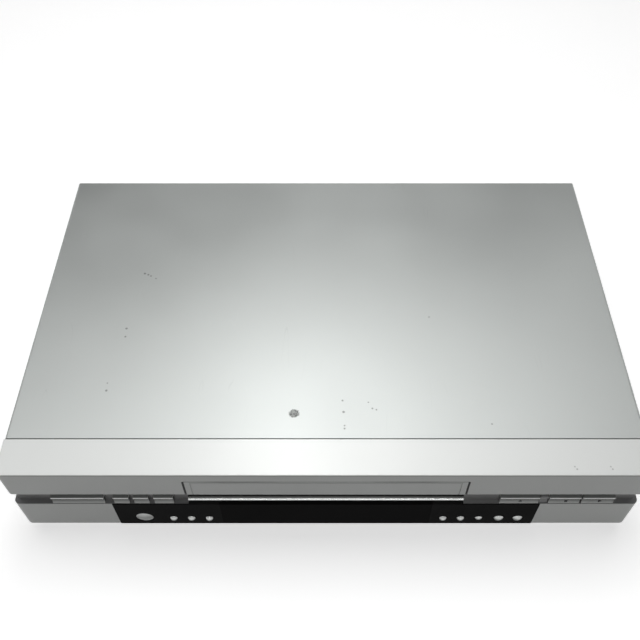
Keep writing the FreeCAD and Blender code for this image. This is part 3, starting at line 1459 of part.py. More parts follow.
def write_nodes():
    """Every piece, one file each."""
    os.makedirs("parts", exist_ok=True)
    save("top_cover", top_cover())
    save("cover_screws", *cover_screws())
    save("front_panel", front_panel())
    save("slot_strip", *slot_strip())
    save("display_window", display_window())
    save("cassette_door", cassette_door())
    save("door_spring", door_spring())
    save("base_chassis", base_chassis())
    save("rear_panel", rear_panel())
    save("feet", *feet())
    for name, spec in bars.items():
        save(name, bar_button(spec))
    for name, spec in domes.items():
        save(name, dome_button(spec))
    save("front_board", front_board())
    save("key_switches", *key_switches())
    save("display_tube", display_tube())
    save("main_board", main_board())
    save("main_parts", *main_parts())
    save("av_jacks", av_jacks())
    save("tuner_module", tuner_module())
    save("power_board", *power_board())
    save("transformer", transformer())
    save("mains_inlet", mains_inlet())
    save("deck_plate", deck_plate())
    save("drum_base", drum_base())
    save("upper_drum", upper_drum())
    save("capstan_motor", capstan_motor())
    save("capstan", capstan())
    save("pinch_arm", pinch_arm())
    save("pinch_roller", pinch_roller())
    save("supply_reel", reel(-reel_half_pitch))
    save("takeup_reel", reel(reel_half_pitch))
    save("clutch_pulley", clutch_pulley())
    save("drive_belt", drive_belt())
    save("idler_arm", idler_arm())
    save("idler_wheel", idler_wheel())
    save("tension_arm", tension_arm())
    save("supply_guide", mirror(tape_guide()))
    save("takeup_guide", tape_guide())
    save("erase_head", head_block(erase_place, 5.0, 12.0, 40))
    save("audio_head", head_block(audio_place, 6.0, 16.0, -30))
    save("loading_motor", loading_motor())
    save("worm", worm())
    save("cam_gear", cam_gear())
    save("carriage_frame", carriage_frame())
    save("lift_slides", *lift_slides())
    save("cassette_holder", cassette_holder())


write_nodes()
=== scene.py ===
import math

import bpy
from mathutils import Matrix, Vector


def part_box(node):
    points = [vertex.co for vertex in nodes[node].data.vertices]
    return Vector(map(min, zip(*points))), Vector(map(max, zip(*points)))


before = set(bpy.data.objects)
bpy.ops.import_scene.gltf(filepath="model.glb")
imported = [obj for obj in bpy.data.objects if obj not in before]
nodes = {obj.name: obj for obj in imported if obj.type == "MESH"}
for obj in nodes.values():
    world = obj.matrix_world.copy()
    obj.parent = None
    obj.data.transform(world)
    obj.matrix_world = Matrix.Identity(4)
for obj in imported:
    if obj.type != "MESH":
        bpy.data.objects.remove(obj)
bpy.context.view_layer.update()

# A silver video cassette recorder on a pale floor, seen from above and in front.
# Metres, in the model's own frame: X to the right, the front faces -Y, Z up.


mm = 0.001
white = (1.0, 1.0, 1.0, 1.0)

# The photograph's frame and the object's middle in it, in pixels
image_side = 640
object_middle_u = 326

# Camera: metres up from the edge of the bright band and out from the front, and degrees
camera_rise = 0.4569
camera_reach = 0.2333
camera_pitch = 51.66
camera_lens = 43.8
sensor_width = 36.0
band_drop = 0.7 * mm

# Floor and surround
floor_sides = 96
floor_radius = 7.0
wall_height = 3.0
floor_bounce = 130
near_glow = 0.45
far_glow = 0.9
glow_start = 0.8
glow_end = 3.0
world_level = 0.09

# Soft rectangular lamps: name, place, the point looked at, the two sides, watts
lamps = (
    ("overhead", (-0.2, 0.31, 1.35), (-0.13, -0.05, 0.08), (2.2, 1.0), 8.8),
    ("overhead_middle", (-0.04, 0.34, 1.3), (0.0, -0.05, 0.08), (0.35, 0.9), 2.8),
    ("front", (0.0, -0.95, 1.25), (0.0, -0.14, 0.05), (0.9, 0.25), 3.9),
    ("low_front", (0.0, -1.3, 0.36), (0.0, -0.14, 0.04), (0.5, 0.1), 0.6),
)

# Where things lie on the front, from the nodes' own boxes
panel_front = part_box("front_panel")[0].y
panel_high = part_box("front_panel")[1].z
slot_high = 56.5 * mm
lip_high = 50.0 * mm
door_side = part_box("cassette_door")[1].x - 4.25 * mm
door_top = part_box("cassette_door")[1].z
bar_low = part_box("power_button")[0].z + 0.9 * mm

# Painted shade: the dark gap beside the door, and the shade along its top: strongest at two
# places
door_gap_shade_half = 0.75 * mm
shade_half = 0.5 * mm
shade_middle = 58 * mm
shade_core = 12 * mm
shade_reach = 30 * mm

# The fascia's metal look, and how far below the panel's top the band, painted brighter as painted
# light, fades into it;
# the painted shade line under the band's edge
fascia_metal = 0.12
band_fade = (1.1 * mm, 0.8 * mm)
band_shade_line = 1.9 * mm
band_shade_half = 0.5 * mm

# The door's lip: painted shade darkens its slope behind the panel's front, and a painted
# highlight lightens its nose below its top
lip_root_shade = (0.9 * mm, 2.6 * mm)
lip_nose_highlight = (1.9 * mm, 1.6 * mm)

# The window: the deep black middle ends at the display's two sides
display_half = 73.5 * mm
window_blur = 0.2 * mm
window_gloss = 0.004

# The bars' round ridge with a painted highlight line and painted shade above it, their hollow
# face with painted shade, up from their lower edge, and the face's depth
hollow_shade_ramp = 5.0 * mm
hollow_shade_high = 6.4 * mm
ridge_highlight_line = 7.0 * mm
ridge_highlight_half = 0.55 * mm
ridge_top_shade = (7.3 * mm, 7.7 * mm)
bar_face = 3.0 * mm

# Plain signs on three bars: half their size, how high they sit on the bar, and how far each
# lies to the right of its bar's middle, in millimetres
sign_half = 1.1 * mm
sign_rise = 2.2 * mm
sign_places = (("eject_button", 0.9), ("stop_button", 1.3), ("play_button", 1.8))

# How far from an edge its paint is rubbed
wear_radius = 0.9 * mm

# Small marks on the cover and on the band: X, Y and radius in millimetres
stuck_speck = ((-21.7, -95.7, 3.4),)
cover_marks = (
    (-141.8, 32.0, 0.9), (-138.9, 30.8, 0.8), (-136.7, 29.5, 0.7), (-132.5, 26.8, 0.6),
    (-147.6, -22.4, 0.9), (-147.3, -29.9, 0.7), (-153.4, -70.7, 0.5), (-153.0, -77.0, 0.8),
    (11.4, -85.2, 0.7), (12.0, -94.4, 0.9), (12.5, -105.1, 0.6), (12.5, -107.4, 0.7),
    (29.1, -86.6, 0.5), (31.8, -91.6, 0.7), (34.5, -92.6, 0.6), (77.1, -11.5, 0.6),
    (112.1, -103.9, 0.6))
band_marks = ((162.0, -135.4, 0.5), (163.2, -137.2, 0.6), (185.4, -135.4, 0.5),
              (186.3, -137.2, 0.6))

# Hairline scuffs on the cover: lean in degrees, waves per metre, stretch, strength, level
cover_scuffs = ((70, 60.0, 0.12, 0.25, 120), (-12, 70.0, 0.10, 0.2, 236))


# Colours

def linear(level):
    """A linear value from an sRGB level of 0 to 255."""
    share = level / 255
    return share / 12.92 if share <= 0.04045 else ((share + 0.055) / 1.055) ** 2.4


def colour(red, green, blue):
    """A linear colour from sRGB levels."""
    return (linear(red), linear(green), linear(blue), 1.0)


def grey(level):
    """A neutral colour from an sRGB level."""
    return colour(level, level, level)


def silver(level):
    """A faintly green silver from an sRGB level."""
    return colour(level - 1, level + 1, level - 1)


def scaled(tint, factor, lift=0.0):
    """A colour made darker or lighter."""
    return tuple(min(1.0, factor * part + lift) for part in tint[:3]) + (1.0,)


# Node helpers

class Paint:
    """A material's node tree and short calls for the nodes that the finishes here use."""

    def __init__(self, name):
        self.material = bpy.data.materials.new(name)
        self.material.use_nodes = True
        self.tree = self.material.node_tree
        self.shader = self.tree.nodes["Principled BSDF"]
        coordinates = self.node("ShaderNodeTexCoord")
        self.place = coordinates.outputs["Object"]
        self.facing = coordinates.outputs["Normal"]

    def node(self, kind, **settings):
        """A node with its own settings."""
        made = self.tree.nodes.new(kind)
        for key, value in settings.items():
            setattr(made, key, value)
        return made

    def link(self, source, target):
        """A link, or a plain value where the source is one."""
        if isinstance(source, bpy.types.NodeSocket):
            self.tree.links.new(source, target)
        else:
            target.default_value = source

    def set(self, **values):
        """Shader sockets by name; an underscore stands for a space."""
        for key, value in values.items():
            self.link(value, self.shader.inputs[key.replace("_", " ")])

    def stretched(self, scale, lean=0.0):
        """Object coordinates scaled along each axis and turned about Z, in degrees."""
        mapping = self.node("ShaderNodeMapping")
        mapping.inputs["Rotation"].default_value = (0.0, 0.0, math.radians(lean))
        mapping.inputs["Scale"].default_value = scale
        self.link(self.place, mapping.inputs["Vector"])
        return mapping.outputs["Vector"]

    def noise(self, scale, detail=3.0, rough=0.55, stretch=(1, 1, 1), lean=0.0):
        """Soft noise from 0 to 1; scale counts waves per metre."""
        made = self.node("ShaderNodeTexNoise")
        made.inputs["Scale"].default_value = scale
        made.inputs["Detail"].default_value = detail
        made.inputs["Roughness"].default_value = rough
        self.link(self.stretched(stretch, lean), made.inputs["Vector"])
        return made.outputs["Fac"]

    def cells(self, scale, feature="F1", stretch=(1, 1, 1)):
        """Distance to the nearest of scattered points, or to the edge between two."""
        made = self.node("ShaderNodeTexVoronoi", feature=feature)
        made.inputs["Scale"].default_value = scale
        self.link(self.stretched(stretch), made.inputs["Vector"])
        return made.outputs["Distance"]

    def spread(self, value, low, high, to_low=0.0, to_high=1.0):
        """A value's range moved to another, held at its ends."""
        made = self.node("ShaderNodeMapRange")
        self.link(value, made.inputs["Value"])
        made.inputs["From Min"].default_value = low
        made.inputs["From Max"].default_value = high
        made.inputs["To Min"].default_value = to_low
        made.inputs["To Max"].default_value = to_high
        return made.outputs["Result"]

    def maths(self, operation, first, second=0.0, third=0.0):
        """One arithmetic step."""
        made = self.node("ShaderNodeMath", operation=operation)
        for source, target in zip((first, second, third), made.inputs):
            self.link(source, target)
        return made.outputs["Value"]

    def product(self, first, *others):
        """Values multiplied together, which also joins masks."""
        for other in others:
            first = self.maths("MULTIPLY", first, other)
        return first

    def away(self, value, middle):
        """How far a value lies from a middle."""
        return self.maths("ABSOLUTE", self.maths("SUBTRACT", value, middle))

    def below(self, value, limit):
        """1 where a value is less than a limit."""
        return self.maths("LESS_THAN", value, limit)

    def near(self, value, middle, half):
        """1 where a value lies within half a width of a middle."""
        return self.below(self.away(value, middle), half)

    def axes(self, vector=None):
        """X, Y and Z of the point in metres, or of another vector."""
        made = self.node("ShaderNodeSeparateXYZ")
        self.link(vector or self.place, made.inputs["Vector"])
        return made.outputs["X"], made.outputs["Y"], made.outputs["Z"]

    def mix(self, share, first, second):
        """Two colours mixed by a share."""
        made = self.node("ShaderNodeMixRGB")
        self.link(share, made.inputs["Fac"])
        self.link(first, made.inputs["Color1"])
        self.link(second, made.inputs["Color2"])
        return made.outputs["Color"]

    def clouded(self, value, first, second, low=0.3, high=0.7):
        """Two colours mixed by a noise, or by any value between two ends."""
        return self.mix(self.spread(value, low, high), first, second)

    def laid(self, base, mask, strength, tint):
        """A tint laid over a base where a mask says, at a strength."""
        return self.mix(self.maths("MULTIPLY", mask, strength), base, tint)

    def bump(self, height, depth, strength):
        """Small relief of the surface, its depth in metres."""
        made = self.node("ShaderNodeBump")
        made.inputs["Strength"].default_value = strength
        made.inputs["Distance"].default_value = depth
        self.link(height, made.inputs["Height"])
        self.link(made.outputs["Normal"], self.shader.inputs["Normal"])

    def edge_wear(self, radius):
        """1 near sharp outer edges and 0 on flat faces."""
        flat, turned = 0.97, 0.80
        bevel = self.node("ShaderNodeBevel", samples=4)
        bevel.inputs["Radius"].default_value = radius
        plain = self.node("ShaderNodeNewGeometry").outputs["Normal"]
        alike = self.node("ShaderNodeVectorMath", operation="DOT_PRODUCT")
        self.link(bevel.outputs["Normal"], alike.inputs[0])
        self.link(plain, alike.inputs[1])
        return self.spread(alike.outputs["Value"], flat, turned)

    def seen_directly(self):
        """1 for rays that show the surface itself: in the picture, in metal or through glass."""
        path = self.node("ShaderNodeLightPath")
        share = path.outputs["Is Camera Ray"]
        for name in ("Is Glossy Ray", "Is Transmission Ray"):
            share = self.maths("MAXIMUM", share, path.outputs[name])
        return share


# Finishes

def metallic_paint(name, level, rough, metal, over, flake=0.0, wear=0.0, gloss=0.25):
    """Silver paint or silver-filled plastic: fine flakes, faint clouding and rubbed edges."""
    paint = Paint(name)
    cloud = paint.noise(9.0, detail=2.0)
    fine = paint.noise(2600.0, detail=1.0)
    base = paint.clouded(cloud, silver(level - 6), silver(level + 5))
    base = paint.laid(base, paint.spread(fine, 0.35, 0.65), flake, silver(level + 34))
    if wear:
        base = paint.laid(base, paint.edge_wear(wear_radius), wear, silver(level - 60))
    paint.set(Metallic=metal, Specular_IOR_Level=gloss)
    paint.set(Roughness=paint.spread(cloud, 0.2, 0.8, rough - 0.04, rough + 0.05))
    paint.bump(fine, 0.02 * mm, 0.5)
    paint.set(Base_Color=over(paint, base))
    return paint


def moulded(name, tint, rough, grain=1800.0):
    """Plastic with the fine grain of its mould."""
    paint = Paint(name)
    fine = paint.noise(grain, detail=2.0)
    cloud = paint.noise(30.0, detail=2.0)
    paint.set(Base_Color=paint.clouded(cloud, scaled(tint, 0.82), scaled(tint, 1.12, 0.001)))
    paint.set(Roughness=paint.spread(fine, 0.3, 0.7, rough - 0.06, rough + 0.08))
    paint.bump(fine, 0.04 * mm, 0.6)
    return paint


def rolled_steel(name, level, rough):
    """Plated or bare steel: bright, with a fine grain and cloudy spangle."""
    paint = Paint(name)
    grain = paint.noise(700.0)
    spangle = paint.spread(paint.cells(130.0), 0.0, 0.9, 0.0, 0.35)
    base = paint.clouded(grain, grey(level - 14), grey(level + 10))
    paint.set(Base_Color=paint.mix(spangle, base, grey(level + 26)), Metallic=1.0)
    paint.set(Roughness=paint.spread(grain, 0.2, 0.8, rough - 0.07, rough + 0.1))
    paint.bump(grain, 0.02 * mm, 0.35)
    return paint


def turned_metal(name, tint, rough):
    """Metal cut on a lathe: fine rings along Z."""
    paint = Paint(name)
    ring = paint.noise(1500.0, detail=2.0, stretch=(0.04, 0.04, 1.0))
    paint.set(Base_Color=paint.clouded(ring, scaled(tint, 0.8), tint, 0.35, 0.65), Metallic=1.0)
    paint.set(Roughness=paint.spread(ring, 0.3, 0.7, rough - 0.05, rough + 0.08))
    paint.bump(ring, 0.01 * mm, 0.4)
    return paint


def rubber(name, level, rough=0.7):
    """Ground or moulded rubber."""
    paint = Paint(name)
    grain = paint.noise(1400.0, detail=4.0)
    paint.set(Base_Color=paint.clouded(grain, grey(level - 5), grey(level + 12)))
    paint.set(Roughness=paint.spread(grain, 0.3, 0.7, rough - 0.08, rough + 0.12))
    paint.bump(grain, 0.06 * mm, 0.7)
    return paint


def marks(paint, spots, ragged=0.6):
    """1 inside any of a few small ragged spots on a flat top."""
    flat = paint.stretched((1 / mm, 1 / mm, 0.0))
    nearest = 1000.0
    for x, y, radius in spots:
        apart = paint.node("ShaderNodeVectorMath", operation="DISTANCE")
        paint.link(flat, apart.inputs[0])
        apart.inputs[1].default_value = (x, y, 0.0)
        edge = paint.maths("SUBTRACT", apart.outputs["Value"], radius)
        nearest = paint.maths("MINIMUM", edge, nearest)
    waver = paint.maths("SUBTRACT", paint.noise(900.0), 0.5)
    return paint.spread(paint.maths("MULTIPLY_ADD", waver, ragged, nearest), -0.2, 0.2, 1.0, 0.0)


def scratches(paint, lean, scale, reach):
    """Thin broken hairlines that all lean one way."""
    swirl = paint.noise(scale, detail=1.0, rough=0.5, stretch=(1.0, reach, 1.0), lean=lean)
    line = paint.spread(paint.away(swirl, 0.5), 0.0, 0.004, 1.0, 0.0)
    patches = paint.spread(paint.noise(16.0 + lean / 10, detail=1.0), 0.60, 0.68)
    return paint.product(line, patches)


def handled_top(paint, base):
    """A stuck grey speck near the front, small dark marks and a few hairline scuffs."""
    for lean, scale, reach, strength, level in cover_scuffs:
        base = paint.laid(base, scratches(paint, lean, scale, reach), strength, silver(level))
    base = paint.mix(0.5, base, colour(194, 199, 197))
    base = paint.laid(base, marks(paint, cover_marks), 0.6, silver(84))
    crumbs = paint.clouded(paint.noise(1100.0, detail=2.0), silver(66), silver(140), 0.35, 0.6)
    return paint.laid(base, marks(paint, stuck_speck, ragged=3.2), 0.95, crumbs)


def painted_lit_top(paint, base):
    """Painted highlight: a dome's upper side is painted brighter and its lower side darker, as if
    lit from above.
    """
    up = paint.axes(paint.facing)[2]
    return paint.clouded(up, silver(140), silver(250), 0.0, 0.34)


def door_painted_shade(paint, base):
    """Painted shade: dark over the gaps round the door and along its top."""
    x, _, z = paint.axes()
    beside = paint.maths("SUBTRACT", paint.maths("ABSOLUTE", x), door_side)
    gap = paint.below(paint.maths("ABSOLUTE", beside), door_gap_shade_half)
    gap = paint.product(gap, paint.below(z, door_top), paint.maths("GREATER_THAN", z, slot_high))
    along = paint.away(paint.maths("ABSOLUTE", x), shade_middle)
    over = paint.product(paint.spread(along, shade_core, shade_reach, 0.9, 0.35),
                         paint.below(beside, 0.0), paint.near(z, door_top, shade_half))
    return paint.mix(paint.maths("MAXIMUM", gap, over), base, grey(12))


def band_and_fascia(paint, base):
    """The band on top is painted brighter than the fascia below it, as painted light, with a
    painted shade line under its edge.
    """
    z = paint.axes()[2]
    on_band = paint.spread(z, panel_high - band_fade[0], panel_high - band_fade[1])
    under = paint.near(z, panel_high - band_shade_line, band_shade_half)
    base = paint.laid(door_painted_shade(paint, base), under, 0.4, silver(60))
    # Painted light: the band's brighter silver, with real marks on it
    band = paint.laid(silver(240), marks(paint, band_marks), 0.5, silver(110))
    paint.set(Metallic=paint.maths("MULTIPLY_ADD", on_band, 0.2, fascia_metal))
    return paint.laid(base, on_band, 0.85, band)


def lip_painted_light():
    """Smooth bright plastic with painted light: a painted highlight on the nose, and painted
    shade that darkens the slope to its root.
    """
    paint = Paint("lip_painted_light")
    _, y, z = paint.axes()
    slope = paint.clouded(y, silver(130), silver(10), *(panel_front + part for part in lip_root_shade))
    nose = paint.spread(z, lip_high - lip_nose_highlight[0], lip_high - lip_nose_highlight[1], 1.0, 0.0)
    paint.set(Base_Color=paint.mix(nose, slope, silver(244)), Metallic=0.75, Roughness=0.26)
    return paint


def box_middle(name):
    """The middle of a node along X."""
    low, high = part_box(name)
    return (low.x + high.x) / 2


def signs(paint, x, z):
    """1 inside a triangle over a line, a square, and a triangle that points right."""
    eject, stop, play = (box_middle(name) + shift * mm for name, shift in sign_places)
    level = bar_low + sign_rise
    arrow_half = 1.3 * sign_half
    peak_up, peak_half = 0.4 * sign_half, 0.6 * sign_half
    line_down, line_half = 0.7 * sign_half, 0.25 * sign_half
    square = paint.product(paint.near(x, stop, sign_half), paint.near(z, level, sign_half))
    run = paint.maths("SUBTRACT", play + arrow_half, x)
    arrow = paint.below(paint.away(z, level), paint.maths("MULTIPLY", run, 0.5))
    arrow = paint.product(arrow, paint.near(x, play, arrow_half))
    rise = paint.maths("SUBTRACT", level + sign_half, z)
    peak = paint.product(paint.below(paint.away(x, eject), rise),
                         paint.near(z, level + peak_up, peak_half))
    line = paint.product(paint.near(x, eject, sign_half),
                         paint.near(z, level - line_down, line_half))
    return paint.maths("ADD", paint.maths("ADD", square, arrow), paint.maths("ADD", peak, line))


def bar_signs_and_painted_light(paint, base):
    """A bar's painted highlight along its ridge and painted shade above it, over painted shade on
    its hollow face, with its plain sign.
    """
    x, y, z = paint.axes()
    front = paint.below(y, panel_front + bar_face)
    shapes = paint.product(paint.maths("MINIMUM", signs(paint, x, z), 1.0), front)
    hollow = paint.spread(z, bar_low, bar_low + hollow_shade_ramp, 0.3, 1.0)
    hollow = paint.product(hollow, paint.below(z, bar_low + hollow_shade_high))
    back = paint.spread(z, bar_low + ridge_top_shade[0], bar_low + ridge_top_shade[1])
    base = paint.laid(base, hollow, front, silver(36))
    base = paint.laid(base, back, 0.85, silver(112))
    base = paint.mix(paint.near(z, bar_low + ridge_highlight_line, ridge_highlight_half), base, silver(252))
    return paint.mix(shapes, base, grey(24))


def circuit_board():
    """Brown laminate with a maze of dull copper under the lacquer."""
    paint = Paint("brown_laminate")
    weave = paint.noise(900.0, detail=2.0)
    tracks = paint.cells(560.0, feature="DISTANCE_TO_EDGE", stretch=(1.0, 0.5, 1.0))
    laminate = paint.clouded(weave, colour(126, 88, 44), colour(144, 102, 54))
    on_track = paint.spread(tracks, 0.05, 0.08, 1.0, 0.0)
    paint.set(Base_Color=paint.mix(on_track, laminate, colour(158, 118, 62)))
    paint.set(Roughness=paint.spread(weave, 0.3, 0.7, 0.38, 0.5))
    return paint


def black_window():
    """Smoked sheet: deep and glossy over the display, and greyer at both ends."""
    paint = Paint("black_window")
    x = paint.axes()[0]
    past = paint.maths("SUBTRACT", paint.maths("ABSOLUTE", x), display_half)
    end = paint.spread(past, -window_blur, window_blur)
    haze = paint.noise(26.0)
    ends = paint.clouded(haze, grey(30), grey(36))
    middle = paint.clouded(haze, grey(16), grey(21))
    paint.set(Base_Color=paint.mix(end, middle, ends), Specular_IOR_Level=window_gloss)
    paint.set(Roughness=paint.maths("MULTIPLY_ADD", end, 0.16, 0.07))
    return paint


def coil_and_core():
    """The transformer: dark ferrite above and below, yellow tape round the coil between."""
    low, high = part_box("transformer")
    tall = high.z - low.z
    paint = Paint("ferrite_and_tape")
    away = paint.away(paint.axes()[2], (low.z + high.z) / 2)
    core = paint.spread(away, 0.28 * tall, 0.29 * tall)
    wrap = paint.noise(60.0, detail=2.0, stretch=(1, 1, 12))
    tape = paint.clouded(wrap, colour(196, 160, 60), colour(214, 182, 84), 0.4, 0.6)
    paint.set(Base_Color=paint.mix(core, tape, grey(52)))
    paint.set(Roughness=paint.spread(wrap, 0.3, 0.7, 0.4, 0.55))
    return paint


def tube_glass():
    """The vacuum display: greenish glass over dark blue-grey segments."""
    paint = Paint("tube_glass")
    swirl = paint.noise(40.0, detail=2.0)
    paint.set(Base_Color=paint.clouded(swirl, colour(54, 70, 68), colour(84, 104, 100)))
    paint.set(Roughness=paint.spread(swirl, 0.3, 0.7, 0.05, 0.12), Coat_Weight=0.6)
    return paint


# Which finish each node takes

def dress(finish, *names):
    """Give CAD nodes one finish."""
    for name in names:
        nodes[name].data.materials.clear()
        nodes[name].data.materials.append(finish.material)


def repaint(name, finish, chosen):
    """Another finish on the faces of a node whose middle and normal pass a test."""
    mesh = nodes[name].data
    if finish.material.name not in mesh.materials:
        mesh.materials.append(finish.material)
    slot = mesh.materials.find(finish.material.name)
    for face in mesh.polygons:
        if chosen(face.center, face.normal):
            face.material_index = slot


def between(value, ends):
    """Whether a place in metres lies between two places in millimetres."""
    return ends[0] * mm < value < ends[1] * mm


def off_axis(middle, x, z):
    """How far a point lies from a line along Y; the line's place is in millimetres."""
    return math.hypot(middle.x - x * mm, middle.z - z * mm)


cover_silver = metallic_paint("top_cover_paint", level=200, rough=0.42, metal=0.9,
                              over=handled_top, flake=0.22)
# The panel: a band painted brighter as painted light, and painted shade under the band's edge and
# round the door; the flap: the same painted shade round the door
panel_silver = metallic_paint("panel_silver", level=190, rough=0.36, metal=fascia_metal,
                              over=band_and_fascia, flake=0.15, wear=0.3)
flap_silver = metallic_paint("flap_silver", level=190, rough=0.36, metal=fascia_metal,
                             over=door_painted_shade, flake=0.15, wear=0.3)
# The bars: silver with a painted highlight on the ridge, painted shade on the hollow face, and
# printed signs
bar_silver_painted_light = metallic_paint("bar_silver_painted_light", level=205, rough=0.30, metal=0.2,
                               over=bar_signs_and_painted_light, flake=0.10)
# The domes: a painted highlight on the upper side, shading darker below
dome_silver_painted_top = metallic_paint("dome_silver_painted_top", level=205, rough=0.24, metal=0.25,
                             over=painted_lit_top, gloss=0.5)
zinc = rolled_steel("zinc_plated", 176, 0.34)
bright = rolled_steel("polished_steel", 205, 0.16)
black_steel = rolled_steel("blackened_steel", 92, 0.38)
nickel = turned_metal("nickel_plate", grey(206), 0.18)
drum_metal = turned_metal("turned_aluminium", grey(212), 0.2)
brass = turned_metal("turned_brass", colour(206, 172, 96), 0.22)
black_plastic = moulded("black_moulding", grey(34), 0.45)
white_plastic = moulded("white_acetal", colour(232, 228, 214), 0.36)
strip_plastic = moulded("dark_grey_moulding", grey(122), 0.42)
# Near-black painted shade, laid on faces in the door's gaps and recesses
recess_painted_shade = moulded("recess_painted_shade", grey(14), 0.6)
parts_black = moulded("component_moulding", grey(44), 0.38, grain=900.0)
sleeve = moulded("capacitor_sleeve", colour(24, 30, 60), 0.3, grain=600.0)
belt_rubber = rubber("roller_rubber", 38)
foot_rubber = rubber("foot_rubber", 40, 0.6)

buttons = [name for name in nodes if name.endswith("_button")]
bars = [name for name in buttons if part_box(name)[0].z > bar_low - 2 * mm]

dress(cover_silver, "top_cover")
dress(panel_silver, "front_panel")
dress(flap_silver, "cassette_door")
dress(dome_silver_painted_top, *buttons)
dress(bar_silver_painted_light, *bars)
dress(strip_plastic, "slot_strip")
dress(black_window(), "display_window")
dress(black_steel, "cover_screws")
dress(foot_rubber, "feet")
dress(zinc, "base_chassis", "rear_panel", "tuner_module", "capstan_motor", "deck_plate",
      "carriage_frame", "lift_slides", "cassette_holder", "idler_arm", "pinch_arm")
dress(bright, "door_spring", "capstan", "tension_arm", "erase_head", "audio_head",
      "loading_motor")
dress(circuit_board(), "front_board", "main_board", "power_board")
dress(parts_black, "key_switches", "main_parts")
dress(coil_and_core(), "transformer")
dress(tube_glass(), "display_tube")
dress(black_plastic, "mains_inlet", "av_jacks", "supply_guide", "takeup_guide")
dress(white_plastic, "supply_reel", "takeup_reel", "clutch_pulley", "cam_gear")
dress(belt_rubber, "drive_belt", "idler_wheel", "pinch_roller")
dress(drum_metal, "drum_base", "upper_drum")
dress(brass, "worm")

# A face whose normal has more than this along an axis looks squarely along it
squarely = 0.9

# The door: painted shade on its sides, its set-back part and its back, and its lip with painted
# highlight and shade; depths behind the panel's front
lip_depth = 3.3 * mm
root_depth = 3.2 * mm
back_depth = 5 * mm
jamb_depth = 4 * mm
jamb_half = 0.9 * mm
repaint("cassette_door", recess_painted_shade, lambda middle, normal: abs(normal.x) > squarely
        or (middle.z < slot_high and middle.y > panel_front + root_depth)
        or middle.y > panel_front + back_depth)
repaint("cassette_door", lip_painted_light(), lambda middle, normal: middle.z < lip_high
        and middle.y < panel_front + lip_depth)
# Painted shade on the panel's jamb faces beside the door
repaint("front_panel", recess_painted_shade, lambda middle, normal: abs(normal.x) > squarely
        and middle.z > slot_high and abs(abs(middle.x) - door_side) < jamb_half
        and middle.y < panel_front + jamb_depth)

# Boards, in millimetres: the metal can, the plugs, sleeves with bare tops, the heat sink
board_top, sleeve_foot = 20.3, 20.8
can_x, can_y = (-165, -117), (15, 50)
plug_x, plug_back = (-113.5, -107.5), 30
front_sleeves, rear_sleeves = -88, 114
bare_tops = ((31.0, 31.4), (29.0, 29.3))
power_tops, power_sleeves_right, sink_left = 30, 180, 190
repaint("main_parts", zinc, lambda middle, normal: between(middle.x, can_x)
        and between(middle.y, can_y))
repaint("main_parts", white_plastic, lambda middle, normal: between(middle.x, plug_x)
        and middle.y < plug_back * mm)
repaint("main_parts", sleeve, lambda middle, normal: middle.z > sleeve_foot * mm
        and (middle.y < front_sleeves * mm or middle.y > rear_sleeves * mm))
repaint("main_parts", bright, lambda middle, normal: normal.z > squarely
        and any(between(middle.z, top) for top in bare_tops))
repaint("power_board", sleeve, lambda middle, normal: middle.z > board_top * mm)
repaint("power_board", bright, lambda middle, normal: normal.z > squarely
        and middle.z > power_tops * mm and middle.x < power_sleeves_right * mm)
repaint("power_board", zinc, lambda middle, normal: middle.z > board_top * mm
        and middle.x > sink_left * mm)

# Sockets, in millimetres: coloured collars round bright barrels, and the inlet's pins
signals = {-41.9: colour(214, 176, 40), -55.9: colour(226, 224, 218), -69.9: colour(178, 34, 30)}
socket_rows = (30, 44)
collar_back, barrel_back, pin_back = 135.0, 136.25, 127
collar_radius = 5.3
barrel_radii = (3.2, 4.3)
inlet_x, inlet_z = 169.85, 27
pin_offset, pin_reach, pin_half = 4.3, 1.4, 1.3
for x, tint in signals.items():
    collar = moulded("socket_collar", tint, 0.35)
    for z in socket_rows:
        repaint("av_jacks", collar, lambda middle, normal: middle.y > collar_back * mm
                and off_axis(middle, x, z) < collar_radius * mm)
        repaint("av_jacks", nickel, lambda middle, normal: middle.y > barrel_back * mm
                and between(off_axis(middle, x, z), barrel_radii))
repaint("tuner_module", nickel, lambda middle, normal: middle.y > collar_back * mm)
repaint("mains_inlet", nickel, lambda middle, normal: middle.y > pin_back * mm
        and abs(off_axis(middle, inlet_x, inlet_z) - pin_offset * mm) < pin_reach * mm
        and abs(middle.z - inlet_z * mm) < pin_half * mm)

# Tape guides: bright rollers over black feet
guide_feet = 22
for name in ("supply_guide", "takeup_guide"):
    repaint(name, bright, lambda middle, normal: middle.z > guide_feet * mm)


# Floor, light and camera

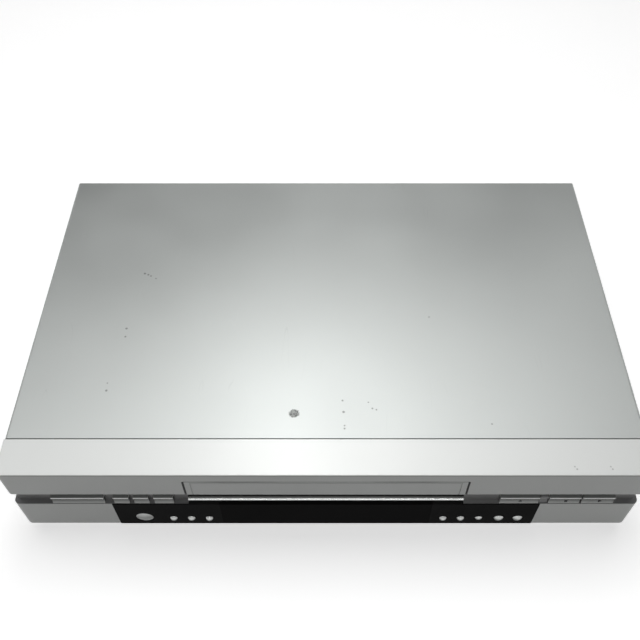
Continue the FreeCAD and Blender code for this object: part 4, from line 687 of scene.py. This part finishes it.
def add_floor():
    """A wide pale floor inside a pale round wall; the floor keeps the object's soft shadow."""
    steps = range(floor_sides)
    turns = [2 * math.pi * k / floor_sides for k in steps]
    ring = [(floor_radius * math.cos(turn), floor_radius * math.sin(turn)) for turn in turns]
    corners = [(x, y, z) for z in (0.0, wall_height) for x, y in ring]
    walls = [(k, (k + 1) % floor_sides, floor_sides + (k + 1) % floor_sides, floor_sides + k)
             for k in steps]
    mesh = bpy.data.meshes.new("floor")
    mesh.from_pydata(corners, [], [tuple(steps)] + walls)
    floor = bpy.data.objects.new("floor", mesh)
    bpy.context.scene.collection.objects.link(floor)
    paint = Paint("pale_floor")
    direct = paint.seen_directly()
    pale = paint.clouded(paint.noise(6.0, detail=2.0), grey(250), grey(252))
    away = paint.node("ShaderNodeVectorMath", operation="LENGTH")
    paint.link(paint.place, away.inputs[0])
    glow = paint.spread(away.outputs["Value"], glow_start, glow_end, near_glow, far_glow)
    paint.set(Base_Color=paint.mix(direct, grey(floor_bounce), pale), Roughness=0.9,
              Emission_Color=white, Emission_Strength=paint.product(direct, glow))
    mesh.materials.append(paint.material)


def add_lamp(name, place, aim, size, watts):
    """A soft rectangular lamp that looks at a point."""
    data = bpy.data.lights.new(name, "AREA")
    data.shape = "RECTANGLE"
    data.size, data.size_y = size
    data.energy = watts
    lamp = bpy.data.objects.new(name, data)
    lamp.location = place
    lamp.rotation_euler = (Vector(aim) - Vector(place)).to_track_quat("-Z", "Y").to_euler()
    bpy.context.scene.collection.objects.link(lamp)


def set_world():
    """An even pale surround."""
    world = bpy.data.worlds.new("surround")
    world.use_nodes = True
    background = world.node_tree.nodes["Background"]
    background.inputs["Color"].default_value = white
    background.inputs["Strength"].default_value = world_level
    bpy.context.scene.world = world


def add_camera():
    """The photograph's view: above the front panel, looking down along its middle."""
    data = bpy.data.cameras.new("photo_camera")
    data.lens = camera_lens
    data.sensor_width = sensor_width
    data.shift_x = (image_side / 2 - object_middle_u) / image_side
    camera = bpy.data.objects.new("photo_camera", data)
    camera.location = (0.0, panel_front - camera_reach, panel_high - band_drop + camera_rise)
    camera.rotation_euler = (math.radians(90 - camera_pitch), 0.0, 0.0)
    bpy.context.scene.collection.objects.link(camera)
    bpy.context.scene.camera = camera


add_floor()
set_world()
for lamp in lamps:
    add_lamp(*lamp)
add_camera()
bpy.context.scene.view_settings.view_transform = "Standard"
